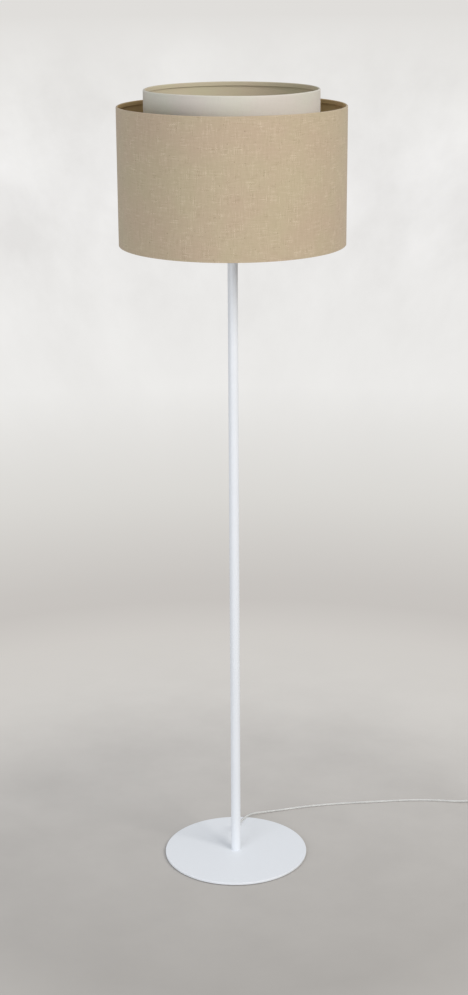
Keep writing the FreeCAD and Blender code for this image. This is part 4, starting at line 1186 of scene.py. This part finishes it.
# %% The plug
plug_low, plug_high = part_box("plug_body")
PLUG_NECK, PLUG_LENGTH, PLUG_CORNER = 0.108, 0.036, 0.0048
PLUG_RELIEF, PLUG_RELIEF_SINK = 0.025, 0.002
PLUG_AT = Vector(((plug_low.x + plug_high.x) / 2, PLUG_NECK, (plug_low.z + plug_high.z) / 2))
plug_outline, plug_outward = rounded_box_outline(plug_high.x - plug_low.x, plug_high.z - plug_low.z,
                                                 PLUG_CORNER)


def plug_rows():
    """Rows from the face of the plug to its neck: a rounded face, flanks with a waist for the fingers,
    and shoulders that draw in. The inset follows a smooth step over the last part."""
    way = np.linspace(0, 1, 40)
    face = -0.0014 * (1 - np.clip(way / 0.05, 0, 1)) ** 2
    waist = -0.0012 * np.exp(-((way - 0.5) / 0.16) ** 2)
    draw = np.clip((way - 0.62) / 0.38, 0, 1)
    neck = -0.0046 * draw ** 2 * (3 - 2 * draw)
    return np.stack([face + waist + neck, way * PLUG_LENGTH], -1)


AT_PLUG = (Matrix.Translation((PLUG_AT.x, PLUG_AT.y - PLUG_LENGTH, PLUG_AT.z))
           @ Matrix.Rotation(-math.pi / 2, 4, "X"))
plug = housing("plug_shell", plug_outline, plug_outward, plug_rows(), AT_PLUG)
dress(plug, "root", "white_plastic", "plug_body")
plug_relief = nose_piece("plug_relief", AT_PLUG, PLUG_LENGTH - PLUG_RELIEF_SINK, PLUG_LENGTH + PLUG_RELIEF,
                         0.0046, 0.0033, 7, 0.0008)

# %% The plug's pins
pin_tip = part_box("plug_pins")[0].y
PIN_RADIUS, PIN_SPACING, PIN_SLEEVE = 0.002, 0.0186, 0.010
SLEEVE_SINK, SLEEVE_WALL = 0.00005, 0.0003
pin_length = PLUG_AT.y - PLUG_LENGTH - pin_tip
bare = rounded([(0, 0, 0), (PIN_RADIUS - 0.0002, 0, 0), (PIN_RADIUS - 0.0002, PIN_SLEEVE, 0),
                (PIN_RADIUS, PIN_SLEEVE, 0.00008), (PIN_RADIUS, pin_length, 0.0014), (0, pin_length, 0)],
               closed=False)
sleeve = rounded([(PIN_RADIUS - SLEEVE_WALL, -0.0005, 0), (PIN_RADIUS - SLEEVE_SINK, -0.0005, 0),
                  (PIN_RADIUS - SLEEVE_SINK, PIN_SLEEVE - 0.0002, 0.00005),
                  (PIN_RADIUS - SLEEVE_WALL, PIN_SLEEVE - 0.0002, 0)])
for name, side in (("left", -1), ("right", 1)):
    at = Matrix.Translation((PLUG_AT.x + side * PIN_SPACING / 2, pin_tip + pin_length, PLUG_AT.z))
    at = at @ Matrix.Rotation(math.pi / 2, 4, "X")
    pin = turned(f"plug_pin_{name}", bare, closed=False, around=32, place=at)
    dress(pin, "root", "nickel")
    dress(turned(f"plug_pin_sleeve_{name}", sleeve, around=32, place=at), "root", "white_plastic")
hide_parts("plug_pins")
print("plug at", [round(value, 4) for value in PLUG_AT])

# %% [markdown]
# ## What the frame already shapes well
#
# The pieces inside the holder, the column and the switch are plain turned parts whose shape is right as
# it comes. They keep their meshes and only get their finish.

# %% The nodes that stay
for subpart in frame["record"]["subparts"]:
    shown = frame["nodes"][subpart["node"]]
    if not shown.hide_render:
        shown.data.materials.clear()
        label = "core" if subpart["node"] == "cord_inner" else subpart["material_slot"]
        shown.data.materials.append(finishes[label])
        print("kept", subpart["node"], subpart["material_slot"])
